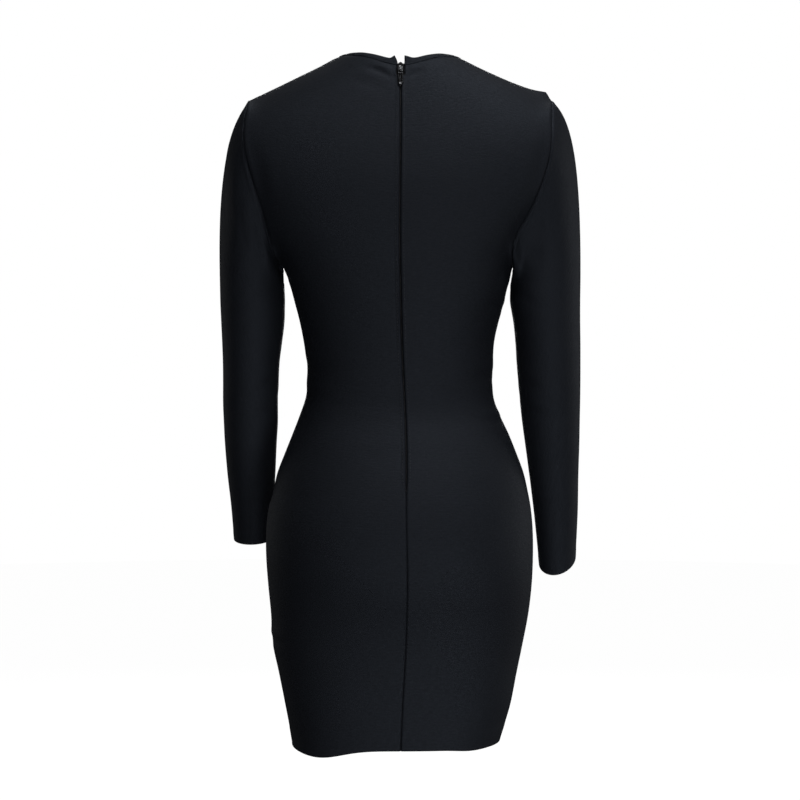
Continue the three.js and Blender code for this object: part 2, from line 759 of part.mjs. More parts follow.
const knit = new THREE.MeshStandardMaterial({ color: 0x14151b, roughness: 0.9, metalness: 0 });
const tape = new THREE.MeshStandardMaterial({ color: 0x101015, roughness: 0.85, metalness: 0 });
const nylon = new THREE.MeshStandardMaterial({ color: 0x0d0d10, roughness: 0.5, metalness: 0 });
const lacquer = new THREE.MeshStandardMaterial({ color: 0x0b0b0e, roughness: 0.3, metalness: 0.4 });

function mesh(name, geometry, material) {
  const made = new THREE.Mesh(geometry, material);
  made.name = name;
  return made;
}

const dress = new THREE.Group();
const sideEdge = (face, side) => (v) => sideAngle(face, side, v);
const centreEdge = (side) => (v) => centreAngle(side, v);
dress.add(
  mesh('front', panel('front', sideEdge('front', -1), sideEdge('front', 1), FRONT_COLUMNS), knit),
  mesh('back_left', panel('back', centreEdge(1), sideEdge('back', 1), BACK_COLUMNS), knit),
  mesh('back_right', panel('back', centreEdge(-1), sideEdge('back', -1), BACK_COLUMNS), knit),
  mesh('sleeve_left', sleeve(1, SLEEVE_LEFT), knit),
  mesh('sleeve_right', sleeve(-1, SLEEVE_RIGHT), knit),
  mesh('neck_binding', neckBinding(), knit),
);

// The zip's two tapes, and the chain that joins them on the inside
const tapeInside = WALL + SEAM_GAP;
const chainInside = tapeInside + TAPE.thick + SEAM_GAP;
const tapeTop = BINDING + 1;
const tapeEnd = ZIP_END_Z - TAPE.tail;
const chainTop = SLIDER.below + SLIDER.long / 2 + 1;
dress.add(
  mesh('zip_tape_left', zipStrip(TAPE.inner, TAPE.outer, tapeInside, TAPE.thick, tapeTop, tapeEnd), tape),
  mesh('zip_tape_right', zipStrip(-TAPE.outer, -TAPE.inner, tapeInside, TAPE.thick, tapeTop, tapeEnd), tape),
  mesh('zip_chain', zipStrip(-CHAIN.half, CHAIN.half, chainInside, CHAIN.thick, chainTop, ZIP_END_Z), nylon),
);

// Slider and pull tab, on the face of the zip just below the neck edge
const slider = zipFrame(SLIDER.below);
slider.add(mesh('zip_slider', geometryOf(solid(sliderBody()).add(solid(sliderBail()))), lacquer));
const hinge = new THREE.Group();
hinge.position.set(0, SLIDER.proud + BAIL.tunnel / 2, -BAIL.below);
hinge.rotation.x = THREE.MathUtils.degToRad(-TAB.lean);
hinge.add(mesh('zip_pull_tab', pullTab(), lacquer));
slider.add(hinge);
dress.add(slider);

export default dress;
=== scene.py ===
import json
import math

import bpy
import numpy as np
from mathutils import Matrix, Vector


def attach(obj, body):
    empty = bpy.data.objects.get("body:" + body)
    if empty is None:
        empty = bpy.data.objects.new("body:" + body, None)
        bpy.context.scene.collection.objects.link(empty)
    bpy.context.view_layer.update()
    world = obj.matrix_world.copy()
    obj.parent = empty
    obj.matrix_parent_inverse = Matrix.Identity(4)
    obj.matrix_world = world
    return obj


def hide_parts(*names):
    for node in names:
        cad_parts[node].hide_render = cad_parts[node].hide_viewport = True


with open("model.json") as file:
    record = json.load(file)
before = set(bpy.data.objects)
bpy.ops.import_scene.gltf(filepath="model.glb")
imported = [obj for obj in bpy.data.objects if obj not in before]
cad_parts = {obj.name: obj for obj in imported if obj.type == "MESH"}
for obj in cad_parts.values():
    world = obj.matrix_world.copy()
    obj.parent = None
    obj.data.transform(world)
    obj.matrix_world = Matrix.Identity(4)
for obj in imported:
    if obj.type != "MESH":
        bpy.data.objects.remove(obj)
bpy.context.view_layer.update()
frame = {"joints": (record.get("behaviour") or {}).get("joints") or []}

# Camera
# A nearly level studio view of the zipped back from 2.6 m away: the neck is seen a little from below, and the
# hem a little from above.
MM = 0.001
VIEW_DISTANCE = 2600
VIEW_HEIGHT = -330
VIEW_AIM = -426.3
VIEW_ASIDE = 1.24
FIELD_WIDTH = 992
SENSOR_WIDTH = 36

eye = Vector((VIEW_ASIDE, VIEW_DISTANCE, VIEW_HEIGHT)) * MM
aim = Vector((VIEW_ASIDE, 0, VIEW_AIM)) * MM
camera = bpy.data.objects.new("camera", bpy.data.cameras.new("camera"))
camera.location = eye
camera.rotation_euler = (aim - eye).to_track_quat("-Z", "Y").to_euler()
camera.data.sensor_width = SENSOR_WIDTH
camera.data.lens = SENSOR_WIDTH * (aim - eye).length / (FIELD_WIDTH * MM)
bpy.context.scene.collection.objects.link(camera)
bpy.context.scene.camera = camera

# The two back panels
# Heavy rayon bandage knit, cut in two halves that the zip joins down to the seat and a plain seam joins below
# it. The cloth rolls in at every seam, and the hem is turned up inside and stitched blind.
WALL = 1.6
SEAM_GAP = 0.3
LAP = 0.14
HEM_TURN = 24
TURN_UP = 1.2
BINDING_HEIGHT = 8
BINDING_PROUD = 0.5
BINDING_HOLD = 2.5
HEM_Z = -849
UNDERARM_Z = -263
TIP_Z = -57
V_UNDERARM = 0.6
V_TIP = 0.85
QUARTER_TURN = math.pi / 2
FULL_TURN = 2 * math.pi
ZIP_END_Z = -531
ZIP_SLIT = {"half": 0.32, "above_end": 5, "fade": 2.5}
NOTCH_REACH = 30


def table(names, rows):
    """Rows of numbers as named columns, lowest first."""
    rows = sorted(rows)
    return dict(zip(names.split(), np.array(rows, float).T))


def curve(rows, by, name):
    """Cubic interpolation of one column of a table, straight on past both ends."""
    at, value = rows[by], rows[name]
    before = np.maximum(np.arange(len(at)) - 1, 0)
    after = np.minimum(np.arange(len(at)) + 1, len(at) - 1)
    slope = (value[after] - value[before]) / (at[after] - at[before])

    def read(x):
        x = np.asarray(x, float)
        i = np.clip(np.searchsorted(at, x) - 1, 0, len(at) - 2)
        span = at[i + 1] - at[i]
        t = np.clip((x - at[i]) / span, 0, 1)
        start = value[i] * (1 + 2 * t) * (1 - t) ** 2 + slope[i] * span * t * (1 - t) ** 2
        end = value[i + 1] * t * t * (3 - 2 * t) + slope[i + 1] * span * t * t * (t - 1)
        below = np.minimum(x - at[0], 0) * slope[0]
        above = np.maximum(x - at[-1], 0) * slope[-1]
        return start + end + below + above

    return read


OUTLINE = table("z left right", [
    [-848, 135, 122.5],
    [-830, 138.3, 128.3],
    [-802, 144, 136.4],
    [-765, 151.5, 143.5],
    [-727, 159.4, 151.2],
    [-690, 161.3, 158],
    [-653, 164.6, 162],
    [-616, 166.9, 163.3],
    [-585, 166.6, 162.8],
    [-560, 163.8, 160.6],
    [-541, 158.5, 157.3],
    [-516, 153, 151.7],
    [-491, 143.5, 142.6],
    [-467, 134, 133],
    [-442, 124.5, 121.4],
    [-425, 119, 115.4],
    [-405, 116.8, 113.6],
    [-380, 117, 114.2],
    [-355, 120.6, 115.6],
    [-330, 125.4, 120.8],
    [-306, 131.6, 127.8],
    [-281, 138.9, 133.4],
    [-263, 144.8, 138.2],
    [-245, 159.5, 146],
    [-220, 175.3, 156],
    [-190, 192, 180],
    [-160, 214, 206],
    [-130, 233, 224],
    [-105, 235, 226],
    [-85, 224, 217],
    [-70, 208, 204.5],
    [-57, 186, 185],
    [-49, 168.2, 180],
    [-46, 161.8, 176.5],
    [-44, 157.5, 163],
    [-41, 151.2, 150],
    [-29, 126.8, 122.5],
    [-17, 101.8, 97.5],
    [-9, 87, 82.5],
    [-4, 76.5, 73.5],
    [-2, 70, 68],
])
BACK_PROFILE = table("z depth square", [
    [-848, 80, 2.55],
    [-800, 84, 2.5],
    [-740, 91, 2.35],
    [-700, 101, 2.3],
    [-660, 116, 2.25],
    [-625, 125, 2.25],
    [-590, 127, 2.2],
    [-555, 120, 2.15],
    [-520, 107, 2.1],
    [-480, 88, 2.15],
    [-445, 72, 2.2],
    [-410, 65.5, 2.25],
    [-375, 68.5, 2.3],
    [-335, 76, 2.35],
    [-290, 85.5, 2.45],
    [-250, 92, 2.45],
    [-200, 96.5, 2.4],
    [-160, 96.5, 2.35],
    [-120, 90, 2.3],
    [-90, 82.5, 2.2],
    [-60, 73.5, 2.1],
    [-35, 64.5, 2.05],
    [-13, 56, 2],
])
FRONT_PROFILE = table("z depth square", [
    [-848, 88, 2.4],
    [-780, 92, 2.35],
    [-700, 97, 2.3],
    [-620, 104, 2.25],
    [-560, 106, 2.2],
    [-500, 103, 2.15],
    [-450, 98, 2.15],
    [-410, 95, 2.2],
    [-370, 98, 2.3],
    [-330, 108, 2.45],
    [-295, 119, 2.55],
    [-262, 124, 2.6],
    [-230, 121, 2.55],
    [-200, 114, 2.45],
    [-170, 104, 2.35],
    [-135, 91, 2.2],
    [-105, 79, 2.1],
    [-78, 69, 2],
])
SIDE_SEAM = table("z depth", [
    [-848, 0],
    [-700, 4],
    [-590, 9],
    [-500, 3],
    [-410, -9],
    [-330, -7],
    [-263, -4],
    [-160, -2],
    [-57, 0],
    [-2, 0],
])
ROWS = table("v side back front", [
    [0.54, -321.5, -321.5, -321.5],
    [V_UNDERARM, UNDERARM_Z, UNDERARM_Z, UNDERARM_Z],
    [0.66, -206, -206.5, -211],
    [0.72, -152, -153.5, -170],
    [0.78, -103, -107, -140],
    [V_TIP, TIP_Z, -64, -117],
    [0.92, -26, -37, -97],
    [1, -2, -13, -78],
])
NECK_SHARPNESS = table("v back front", [
    [0.6, 2, 2],
    [V_TIP, 2, 2],
    [1, 6, 1.15],
])
CENTRE_BACK = table("z x", [
    [-848, 0.5],
    [-790, -1.9],
    [-720, -5.6],
    [-640, -7.4],
    [-560, -6.2],
    [-480, -6.2],
    [-430, -4.4],
    [-370, -1.6],
    [-300, 0.4],
    [-220, 1.6],
    [-140, 1],
    [-13, 0.6],
])
ARMHOLE = table("z back_left back_right front_left front_right", [
    [-263, 144.8, 138.2, 144.8, 138.2],
    [-255, 151.5, 136.8, 150.5, 141],
    [-240, 157.5, 135.5, 156, 144.5],
    [-220, 162.5, 142.3, 161.5, 149.5],
    [-190, 170, 159, 168, 158],
    [-160, 179.5, 171, 174, 166],
    [-130, 187.5, 179.6, 178.5, 172],
    [-105, 190.8, 182.3, 181.5, 176.5],
    [-85, 190.5, 182.9, 184, 180.5],
    [-70, 188.6, 183.8, 185.8, 184],
    [-57, 186, 185, 186, 185],
])
NOTCH = table("below left right", [
    [0, 6.9, 4.7],
    [3, 4.3, 4.7],
    [6, 3.3, 4.6],
    [8, 3.4, 4.3],
    [9.5, 3.9, 4],
    [20.5, 3.9, 3.9],
    [22.3, 1, 1],
    [24, 0.35, 0.35],
    [40, 0.3, 0.3],
])
BUST = {"x": 84, "z": -258, "out": 13, "wide": 42, "high": 58}
HEM_DIPS = [{"x": 103, "drop": 11.2, "wide": 41}, {"x": -86, "drop": 2.2, "wide": 22}]
HEM_DIP_FADE = 130
NECK_LEAN = 2.2

outline_left = curve(OUTLINE, "z", "left")
outline_right = curve(OUTLINE, "z", "right")
profiles = {"back": BACK_PROFILE, "front": FRONT_PROFILE}
profile_depth = {face: curve(rows, "z", "depth") for face, rows in profiles.items()}
profile_square = {face: curve(rows, "z", "square") for face, rows in profiles.items()}
side_seam_depth = curve(SIDE_SEAM, "z", "depth")
row_height = {place: curve(ROWS, "v", place) for place in ("side", "back", "front")}
neck_sharpness = {face: curve(NECK_SHARPNESS, "v", face) for face in ("back", "front")}
centre_back = curve(CENTRE_BACK, "z", "x")
notch = {1: curve(NOTCH, "below", "left"), -1: curve(NOTCH, "below", "right")}
armhole = {
    (face, side): curve(ARMHOLE, "z", face + hand)
    for face in ("back", "front")
    for side, hand in ((1, "_left"), (-1, "_right"))
}


def bell(x):
    return np.exp(-x * x)


def ramp(x):
    """From 0 well below zero to 1 well above it."""
    return 0.5 + 0.5 * np.tanh(x / 2)


def height_of(place, v):
    """Height of row v at the side, the centre back or the centre front. Rows are level below the underarm."""
    level = HEM_Z + (UNDERARM_Z - HEM_Z) * v / V_UNDERARM
    return np.where(v < V_UNDERARM, level, row_height[place](v))


def section(face, angle, v):
    """One section of the dress at row v: heights, the side seam's depth, reach, half-width and squareness."""
    side_z = height_of("side", v)
    centre_z = height_of(face, v)
    seam = side_seam_depth(side_z)
    reach = profile_depth[face](centre_z) + (-seam if face == "back" else seam)
    half = np.where(angle >= 0, outline_left(side_z), outline_right(side_z))
    return side_z, centre_z, seam, reach, half, profile_square[face](centre_z)


def radius(cut, angle):
    reach, half, square = cut[3:]
    across = (np.abs(np.sin(angle)) / half) ** square
    along = (np.abs(np.cos(angle)) / reach) ** square
    return (across + along) ** (-1 / square)


def body_point(face, angle, v):
    """A point on the outside: angle 0 is the centre line, a quarter turn either way the side."""
    angle, v = np.broadcast_arrays(np.asarray(angle, float), np.asarray(v, float))
    cut = section(face, angle, v)
    side_z, centre_z, seam = cut[:3]
    r = radius(cut, angle)
    x = r * np.sin(angle)
    depth = r * np.cos(angle)
    z = side_z + (centre_z - side_z) * np.maximum(0, np.cos(angle)) ** neck_sharpness[face](v)
    high = np.clip((v - V_TIP) / (1 - V_TIP), 0, 2)
    z = z - np.where(angle < 0, NECK_LEAN * (np.sin(angle) * high) ** 2, 0)
    if face == "front":
        fullness = bell((np.abs(x) - BUST["x"]) / BUST["wide"]) * bell((z - BUST["z"]) / BUST["high"])
        depth = depth + BUST["out"] * fullness
    fade = np.maximum(0, 1 - (z - HEM_Z) / HEM_DIP_FADE) ** 2
    fade = fade * np.sin(angle) ** 4 if face == "front" else fade
    for dip in HEM_DIPS:
        z = z - dip["drop"] * bell((x - dip["x"]) / dip["wide"]) * fade
    return np.stack([x, seam + depth if face == "back" else seam - depth, z], -1)


def bisect(low, high, too_low):
    """The place between low and high where too_low stops being true, for whole arrays."""
    for _ in range(34):
        middle = (low + high) / 2
        rise = too_low(middle)
        low = np.where(rise, middle, low)
        high = np.where(rise, high, middle)
    return low


def angle_at(face, x, v):
    """Angle at which section v reaches a given distance from the middle."""
    x, v = np.broadcast_arrays(np.asarray(x, float), np.asarray(v, float))
    side = np.where(x < 0, -1.0, 1.0)

    def short(angle):
        return radius(section(face, side * angle, v), angle) * np.sin(angle) < np.abs(x)

    return side * bisect(np.zeros_like(x), np.full_like(x, QUARTER_TURN), short)


def side_angle(face, side, v):
    """Angle of a panel's outer edge: side seam, armhole or shoulder seam."""
    side_z = height_of("side", v)
    edge = QUARTER_TURN + LAP / section(face, np.full_like(v, side), v)[3]
    cut = np.abs(angle_at(face, side * (armhole[face, side](side_z) + LAP), v))
    in_armhole = (side_z > UNDERARM_Z) & (side_z < TIP_Z)
    return side * np.where(in_armhole, np.minimum(edge, cut), edge)


def length(vectors):
    return np.linalg.norm(vectors, axis=-1)


def below_neck(face, angle, distance):
    """Row that lies a given distance below the neck edge."""
    step = 1e-3
    speed = length(body_point(face, angle, 1.0) - body_point(face, angle, 1.0 - step)) / step
    return 1 - distance / speed


def centre_angle(side, v):
    """Angle of a back panel's edge at the centre back, which opens into a notch above the zip's slider."""
    z = height_of("back", v)
    below = length(body_point("back", 0.0, 1.0) - body_point("back", 0.0, v))
    opened = ramp((z - ZIP_END_Z - ZIP_SLIT["above_end"]) / ZIP_SLIT["fade"])
    slit = (ZIP_SLIT["half"] + LAP) * opened - LAP
    half = np.where((v > V_TIP) & (below < NOTCH_REACH), notch[side](below), slit)
    return angle_at("back", centre_back(z) + side * half, v)


EDGE_BAND = 6
CLOSE_ROWS = np.array([0, 0.12, 0.3, 0.55, 0.85, 1.3, 2, 3, 4.4, EDGE_BAND])
PLAIN_ROWS = np.array([0.0, 3])


def stations(first, last, long, step, near):
    """Numbers from first to last along a stretch of cloth so many millimetres long, closer at its ends."""
    middle = np.linspace(EDGE_BAND, long - EDGE_BAND, max(2, round((long - 2 * EDGE_BAND) / step)))
    low = CLOSE_ROWS if near in ("both", "first") else PLAIN_ROWS
    high = CLOSE_ROWS if near in ("both", "last") else PLAIN_ROWS
    places = np.unique(np.concatenate([low, middle, long - high]))
    return first + (last - first) * places / long


def normals_of(points, closed):
    """Unit normals of a grid of points, rows by columns."""
    if closed:
        across = np.roll(points, -1, 1) - np.roll(points, 1, 1)
    else:
        across = np.gradient(points, axis=1)
    normal = np.cross(across, np.gradient(points, axis=0))
    return normal / np.maximum(length(normal), 1e-9)[..., None]


def run(points, axis):
    """Distance along the rows or columns of a grid, from its first line and from its last."""
    steps = length(np.diff(points, axis=axis))
    start = np.zeros_like(np.take(points[..., 0], [0], axis))
    from_first = np.concatenate([start, np.cumsum(steps, axis)], axis)
    return from_first, np.take(from_first, [-1], axis) - from_first


def to_edges(points):
    """Distances of a grid's points from its first and last rows and columns, and from the nearest of them."""
    low, high = run(points, 0)
    left, right = run(points, 1)
    return low, high, left, right, np.minimum(np.minimum(left, right), np.minimum(low, high))


def rounded(distance, thick):
    """How much of a wall's half thickness is left so near an edge, which is rounded over."""
    share = np.clip(distance / (thick / 2), 0, 1)
    return np.sqrt(np.maximum(0, 1 - (1 - share) ** 2))


def relaxed(points, keep, rounds):
    """Smooths a grid of points, each as far as keep leaves it free."""
    for _ in range(rounds):
        mean = points.copy()
        mean[1:-1] = (points[:-2] + 2 * points[1:-1] + points[2:]) / 4
        points = points + (mean - points) * keep[..., None]
    return points


def cloth_wall(name, points, lift, thick, edges, closed=False):
    """A sheet of cloth with its own thickness and rounded edges, all in millimetres. points is the outside as
    cut, lift how far the folds raise it, thick its thickness, and edges the distance to the nearest edge."""
    rows, columns = points.shape[:2]
    normal = normals_of(points, closed)
    outward = np.sign((normal * (points - points.mean((0, 1)))).sum()) or 1.0
    normal = normal * outward
    swell = thick / 2 * rounded(edges, thick)
    middle = points + normal * (lift - thick / 2)[..., None]
    outside = middle + normal * swell[..., None]
    inside = middle - normal * swell[..., None]
    first = np.arange(rows * columns).reshape(rows, columns)
    second = first + rows * columns
    second[0], second[-1] = first[0], first[-1]
    if not closed:
        second[:, 0], second[:, -1] = first[:, 0], first[:, -1]

    def quads(index, turned):
        if closed:
            index = np.concatenate([index, index[:, :1]], 1)
        square = [index[:-1, :-1], index[:-1, 1:], index[1:, 1:], index[1:, :-1]]
        return np.stack([corner.ravel() for corner in (square[::-1] if turned else square)], 1)

    faces = np.concatenate([quads(first, outward < 0), quads(second, outward > 0)])
    corners = np.concatenate([outside.reshape(-1, 3), inside.reshape(-1, 3)])
    long = run(points, 0)[0]
    wide = run(points, 1)[0]
    cloth = np.stack([wide - wide.mean(), long, edges], -1).reshape(-1, 3)
    used, packed = np.unique(faces, return_inverse=True)
    cloth = np.concatenate([cloth, cloth])[used]
    return mesh_object(name, corners[used], packed.reshape(faces.shape), cloth)


def mesh_object(name, corners, faces, cloth=None):
    """A mesh from points in millimetres. cloth holds each point's place on the flat cloth."""
    mesh = bpy.data.meshes.new(name)
    mesh.from_pydata((np.asarray(corners) * MM).tolist(), [], [list(map(int, face)) for face in faces])
    mesh.polygons.foreach_set("use_smooth", [True] * len(mesh.polygons))
    if cloth is not None:
        place = mesh.attributes.new("cloth", "FLOAT_VECTOR", "POINT")
        place.data.foreach_set("vector", np.asarray(cloth, np.float32).ravel())
    mesh.validate()
    made = bpy.data.objects.new(name, mesh)
    bpy.context.scene.collection.objects.link(made)
    return made


class Wire:
    """A socket in a material. Arithmetic on it adds Math nodes."""

    def __init__(self, tree, socket):
        self.tree = tree
        self.socket = socket

    def math(self, operation, *values):
        """Adds a Math node that works on the given values, or on this wire alone."""
        node = self.tree.nodes.new("ShaderNodeMath")
        node.operation = operation
        for place, value in enumerate(values or [self]):
            connect(self.tree, node.inputs[place], value)
        return Wire(self.tree, node.outputs[0])

    def __add__(self, other):
        return self.math("ADD", self, other)

    __radd__ = __add__

    def __sub__(self, other):
        return self.math("SUBTRACT", self, other)

    def __rsub__(self, other):
        return self.math("SUBTRACT", other, self)

    def __mul__(self, other):
        return self.math("MULTIPLY", self, other)

    __rmul__ = __mul__

    def __pow__(self, other):
        return self.math("POWER", self, other)


def connect(tree, socket, value):
    if isinstance(value, Wire):
        tree.links.new(value.socket, socket)
    else:
        socket.default_value = value


class Finish:
    """A material whose nodes are added one by one to a Principled shader."""

    def __init__(self, name, **constants):
        self.material = bpy.data.materials.new(name)
        self.material.use_nodes = True
        self.tree = self.material.node_tree
        self.shader = self.tree.nodes["Principled BSDF"]
        for socket, value in constants.items():
            self.shader.inputs[socket.replace("_", " ")].default_value = value

    def add(self, kind, settings=None, result=0, **sockets):
        """Adds a node, sets it up, wires its sockets, and gives back one of its outputs."""
        node = self.tree.nodes.new("ShaderNode" + kind)
        for setting, value in (settings or {}).items():
            setattr(node, setting, value)
        for socket, value in sockets.items():
            connect(self.tree, node.inputs[socket.replace("_", " ")], value)
        return Wire(self.tree, node.outputs[result])

    def noise(self, scale, detail):
        """A cloudy pattern fixed to the piece."""
        return self.add("TexNoise", Vector=self.add("TexCoord", result=3), Scale=scale, Detail=detail)

    def blend(self, share, first, second):
        """Mixes two colours."""
        node = self.tree.nodes.new("ShaderNodeMix")
        node.data_type = "RGBA"
        connect(self.tree, node.inputs[0], share)
        connect(self.tree, node.inputs[6], first)
        connect(self.tree, node.inputs[7], second)
        return Wire(self.tree, node.outputs[2])

    def feed(self, **sockets):
        for socket, value in sockets.items():
            connect(self.tree, self.shader.inputs[socket.replace("_", " ")], value)


RIB = 1.7
LOOP = 1.15
KNIT_DARK = (0.0022, 0.0023, 0.0034, 1)
KNIT_LIGHT = (0.0062, 0.0066, 0.0092, 1)


def knit_finish(name):
    """Bandage knit: fine ribs across the body, made of small loops, a little fuzzy and dully shiny."""
    knit = Finish(name, Specular_IOR_Level=0.5, Specular_Tint=(0.7, 0.81, 1.0, 1))
    place = knit.add("Attribute", {"attribute_name": "cloth"}, result=1)
    across, along = (knit.add("SeparateXYZ", result=axis, Vector=place) for axis in (0, 1))
    wander = (knit.noise(11.0, 2.0) - 0.5) * 1.6
    wave = (along + wander) * (math.pi / RIB)
    rib = wave.math("SINE").math("ABSOLUTE") ** 0.7
    turn = across * (FULL_TURN / LOOP) + wave
    loop = turn.math("SINE") * 0.5 + 0.5
    fuzz = knit.noise(1400.0, 3.0)
    patch = knit.noise(26.0, 4.0)
    flat = knit.add("CombineXYZ", X=across * 0.16, Y=(along + wander * 3) * 0.55)
    streak = knit.add("TexNoise", Vector=flat, Scale=1.0, Detail=3.0)
    grain = knit.noise(430.0, 4.0) * 0.4 + streak * 0.6
    relief = rib * 0.42 + loop * 0.22 + fuzz * 0.45 + grain * 2.4
    # The colour is darker where the ribs, loops and fuzz sink, a painted shade in the hollows of the knit,
    # and it is mottled at random in patches.
    painted_shade_and_tone = rib * 0.24 + loop * 0.12 + fuzz * 0.6 + (patch - 0.5) * 0.5 - 0.02
    painted_shade_and_tone = painted_shade_and_tone.math("MINIMUM", painted_shade_and_tone.math("MAXIMUM", painted_shade_and_tone, 0.0), 1.0)
    colour = knit.blend(painted_shade_and_tone, KNIT_DARK, KNIT_LIGHT)
    bump = knit.add("Bump", Strength=0.45, Distance=0.00035, Height=relief)
    knit.feed(Base_Color=colour, Roughness=0.42 + 0.2 * fuzz + 0.36 * grain, Normal=bump)
    return knit.material


knit = knit_finish("knit")


def dress_up(piece, material, *nodes, body="dress", slot="knit"):
    """Gives a piece its material and its body, and hides the solids that it stands for."""
    piece.data.materials.append(material)
    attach(piece, body)
    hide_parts(*nodes)
    return piece


def crease(points, x, z, lean, long, wide, deep):
    """One soft uneven fold, as a height: a trough with a low ridge above it."""
    turn = math.radians(lean)
    across = points[..., 0] - x
    up = points[..., 2] - z
    along = across * math.cos(turn) + up * math.sin(turn)
    off = up * math.cos(turn) - across * math.sin(turn) + 0.12 * along * np.sin(along / long)
    fold = -bell(off / wide) + 0.55 * bell((off - 1.9 * wide) / (1.2 * wide))
    return deep * fold * bell(along / long)


def ridge(distance, high, at, wide):
    """A raised line so far from an edge, or a sunken one where high is negative."""
    return high * bell((distance - at) / wide)


# Rolled and stitched edges: height, distance from the edge, width
SEAM_ROLL = (-0.75, 0, 1.3)
SEAM_SWELL = (0.4, 5, 3.2)
CENTRE_ROLL = (-1.0, 0, 1.2)
ZIP_ROLL = (-0.5, 0, 1.2)
ZIP_FOLD = (0.35, 2.6, 1.4)
BINDING_SINK = (-0.45, BINDING_HOLD, 2.2)
HEM_ROLL = (0.3, 2.6, 1.3)

STITCH_APART = 4.7
STITCH_WIDTH = 0.65
ZIP_END_FADE = 3
HEM_STITCH = {"deep": 0.16, "wide": 1.1, "waver": 0.6, "wave": 9}
HEM_SWELL = {"high": 0.35, "fade": 1.2}
TURN_UP_FADE = 0.6
CREASE_MARGIN = 5
SHOULDER_LENGTH = 64
# The right shoulder's seam is pulled smooth above this height
DRAWN_FLAT = {"share": 0.65, "z": -112, "fade": 6}
# The cloth is smoothed where its rows change direction
EASED = {"tip": 0.07, "underarm": 0.04, "margin": 4, "fade": 16, "rounds": 60}
BACK_CREASES = [
    # x, z, lean, length, width, depth
    [25, -28, 22, 14, 3.4, 1.5],
    [-17, -30, -24, 11, 3.4, 0.7],
    [42, -42, 14, 22, 7, 0.6],
    [118, -418, 12, 30, 7, 0.9],
    [116, -384, -10, 28, 7, 0.7],
    [-122, -452, 14, 20, 4.5, 1.2],
    [-114, -398, 8, 30, 7, 0.9],
    [-126, -312, 18, 16, 4, 0.9],
    [160, -722, -6, 22, 5, 1.1],
    [150, -246, 52, 28, 8, 1.4],
    [138, -282, 38, 30, 9, 1.0],
    [-132, -262, -48, 26, 7, 1.4],
    [-128, -296, -34, 28, 8, 0.9],
    [60, -672, -7, 46, 16, 0.45],
    [-62, -676, 8, 44, 16, 0.4],
    [20, -430, 6, 40, 10, 0.5],
    [-34, -404, -8, 38, 10, 0.5],
    [170, -150, 80, 40, 7, 0.8],
    [-166, -146, -78, 42, 7, 0.8],
]


def panel(face, side_from, side_to, wide, creases, groove=None):
    """One panel's cloth: its outer points, how far folds and seams lift it, its thickness and its distance
    from the edges. groove is the depth of the stitched line beside the zip."""
    rows = np.concatenate([
        stations(0, V_UNDERARM, UNDERARM_Z - HEM_Z, 3.5, "first"),
        stations(V_UNDERARM, V_TIP, TIP_Z - UNDERARM_Z, 3.2, "none")[1:],
        stations(V_TIP, 1, SHOULDER_LENGTH, 2.8, "last")[1:],
    ])
    share = stations(0, 1, wide, 3.7, "both")
    v = np.repeat(rows[:, None], len(share), 1)

    def angles(v):
        return side_from(v) * (1 - share) + side_to(v) * share

    upright = angles(v)
    top = below_neck(face, upright, BINDING_HEIGHT - BINDING_HOLD)
    v = np.where(v > V_TIP, V_TIP + (v - V_TIP) * (top - V_TIP) / (1 - V_TIP), v)
    points = body_point(face, angles(v), v)
    low, high, left, right, edges = to_edges(points)
    kinked = bell((v - V_TIP) / EASED["tip"]) + bell((v - V_UNDERARM) / EASED["underarm"])
    free = np.minimum(1, kinked) * np.clip((edges - EASED["margin"]) / EASED["fade"], 0, 1)
    points = relaxed(points, free, EASED["rounds"])
    lift = np.zeros(v.shape)
    for fold in creases:
        lift += crease(points, *fold)
    lift *= np.clip(edges / CREASE_MARGIN, 0, 1)
    x, z = points[..., 0], points[..., 2]
    outer = right if groove else np.minimum(left, right)
    drawn_flat = DRAWN_FLAT["share"] * ramp((z - DRAWN_FLAT["z"]) / DRAWN_FLAT["fade"]) * (x < 0)
    lift += ridge(outer, *SEAM_ROLL) * (1 - drawn_flat)
    lift += ridge(outer, *SEAM_SWELL) * (z > UNDERARM_Z)
    lift += ridge(high, *BINDING_SINK)
    if groove:
        zipped = ramp((z - ZIP_END_Z) / ZIP_END_FADE)
        lift += ridge(left, *CENTRE_ROLL) + ridge(left, *ZIP_ROLL) * zipped
        lift -= ridge(left, groove, STITCH_APART, STITCH_WIDTH) * zipped
        lift += ridge(left, *ZIP_FOLD) * zipped
    stitched_at = HEM_TURN + HEM_STITCH["waver"] * np.sin(x / HEM_STITCH["wave"])
    lift -= ridge(low, HEM_STITCH["deep"], stitched_at, HEM_STITCH["wide"])
    lift += HEM_SWELL["high"] * ramp((HEM_TURN - low) / HEM_SWELL["fade"]) + ridge(low, *HEM_ROLL)
    thick = WALL + TURN_UP * ramp((HEM_TURN - low) / TURN_UP_FADE)
    return points, lift, thick, edges


for side, name, groove in ((1, "back_left", 0.34), (-1, "back_right", 0.18)):
    cloth = panel(
        "back",
        lambda v, side=side: centre_angle(side, v),
        lambda v, side=side: side_angle("back", side, v),
        190,
        BACK_CREASES,
        groove,
    )
    made = cloth_wall("dress_" + name, *cloth)
    dress_up(made, knit, name)

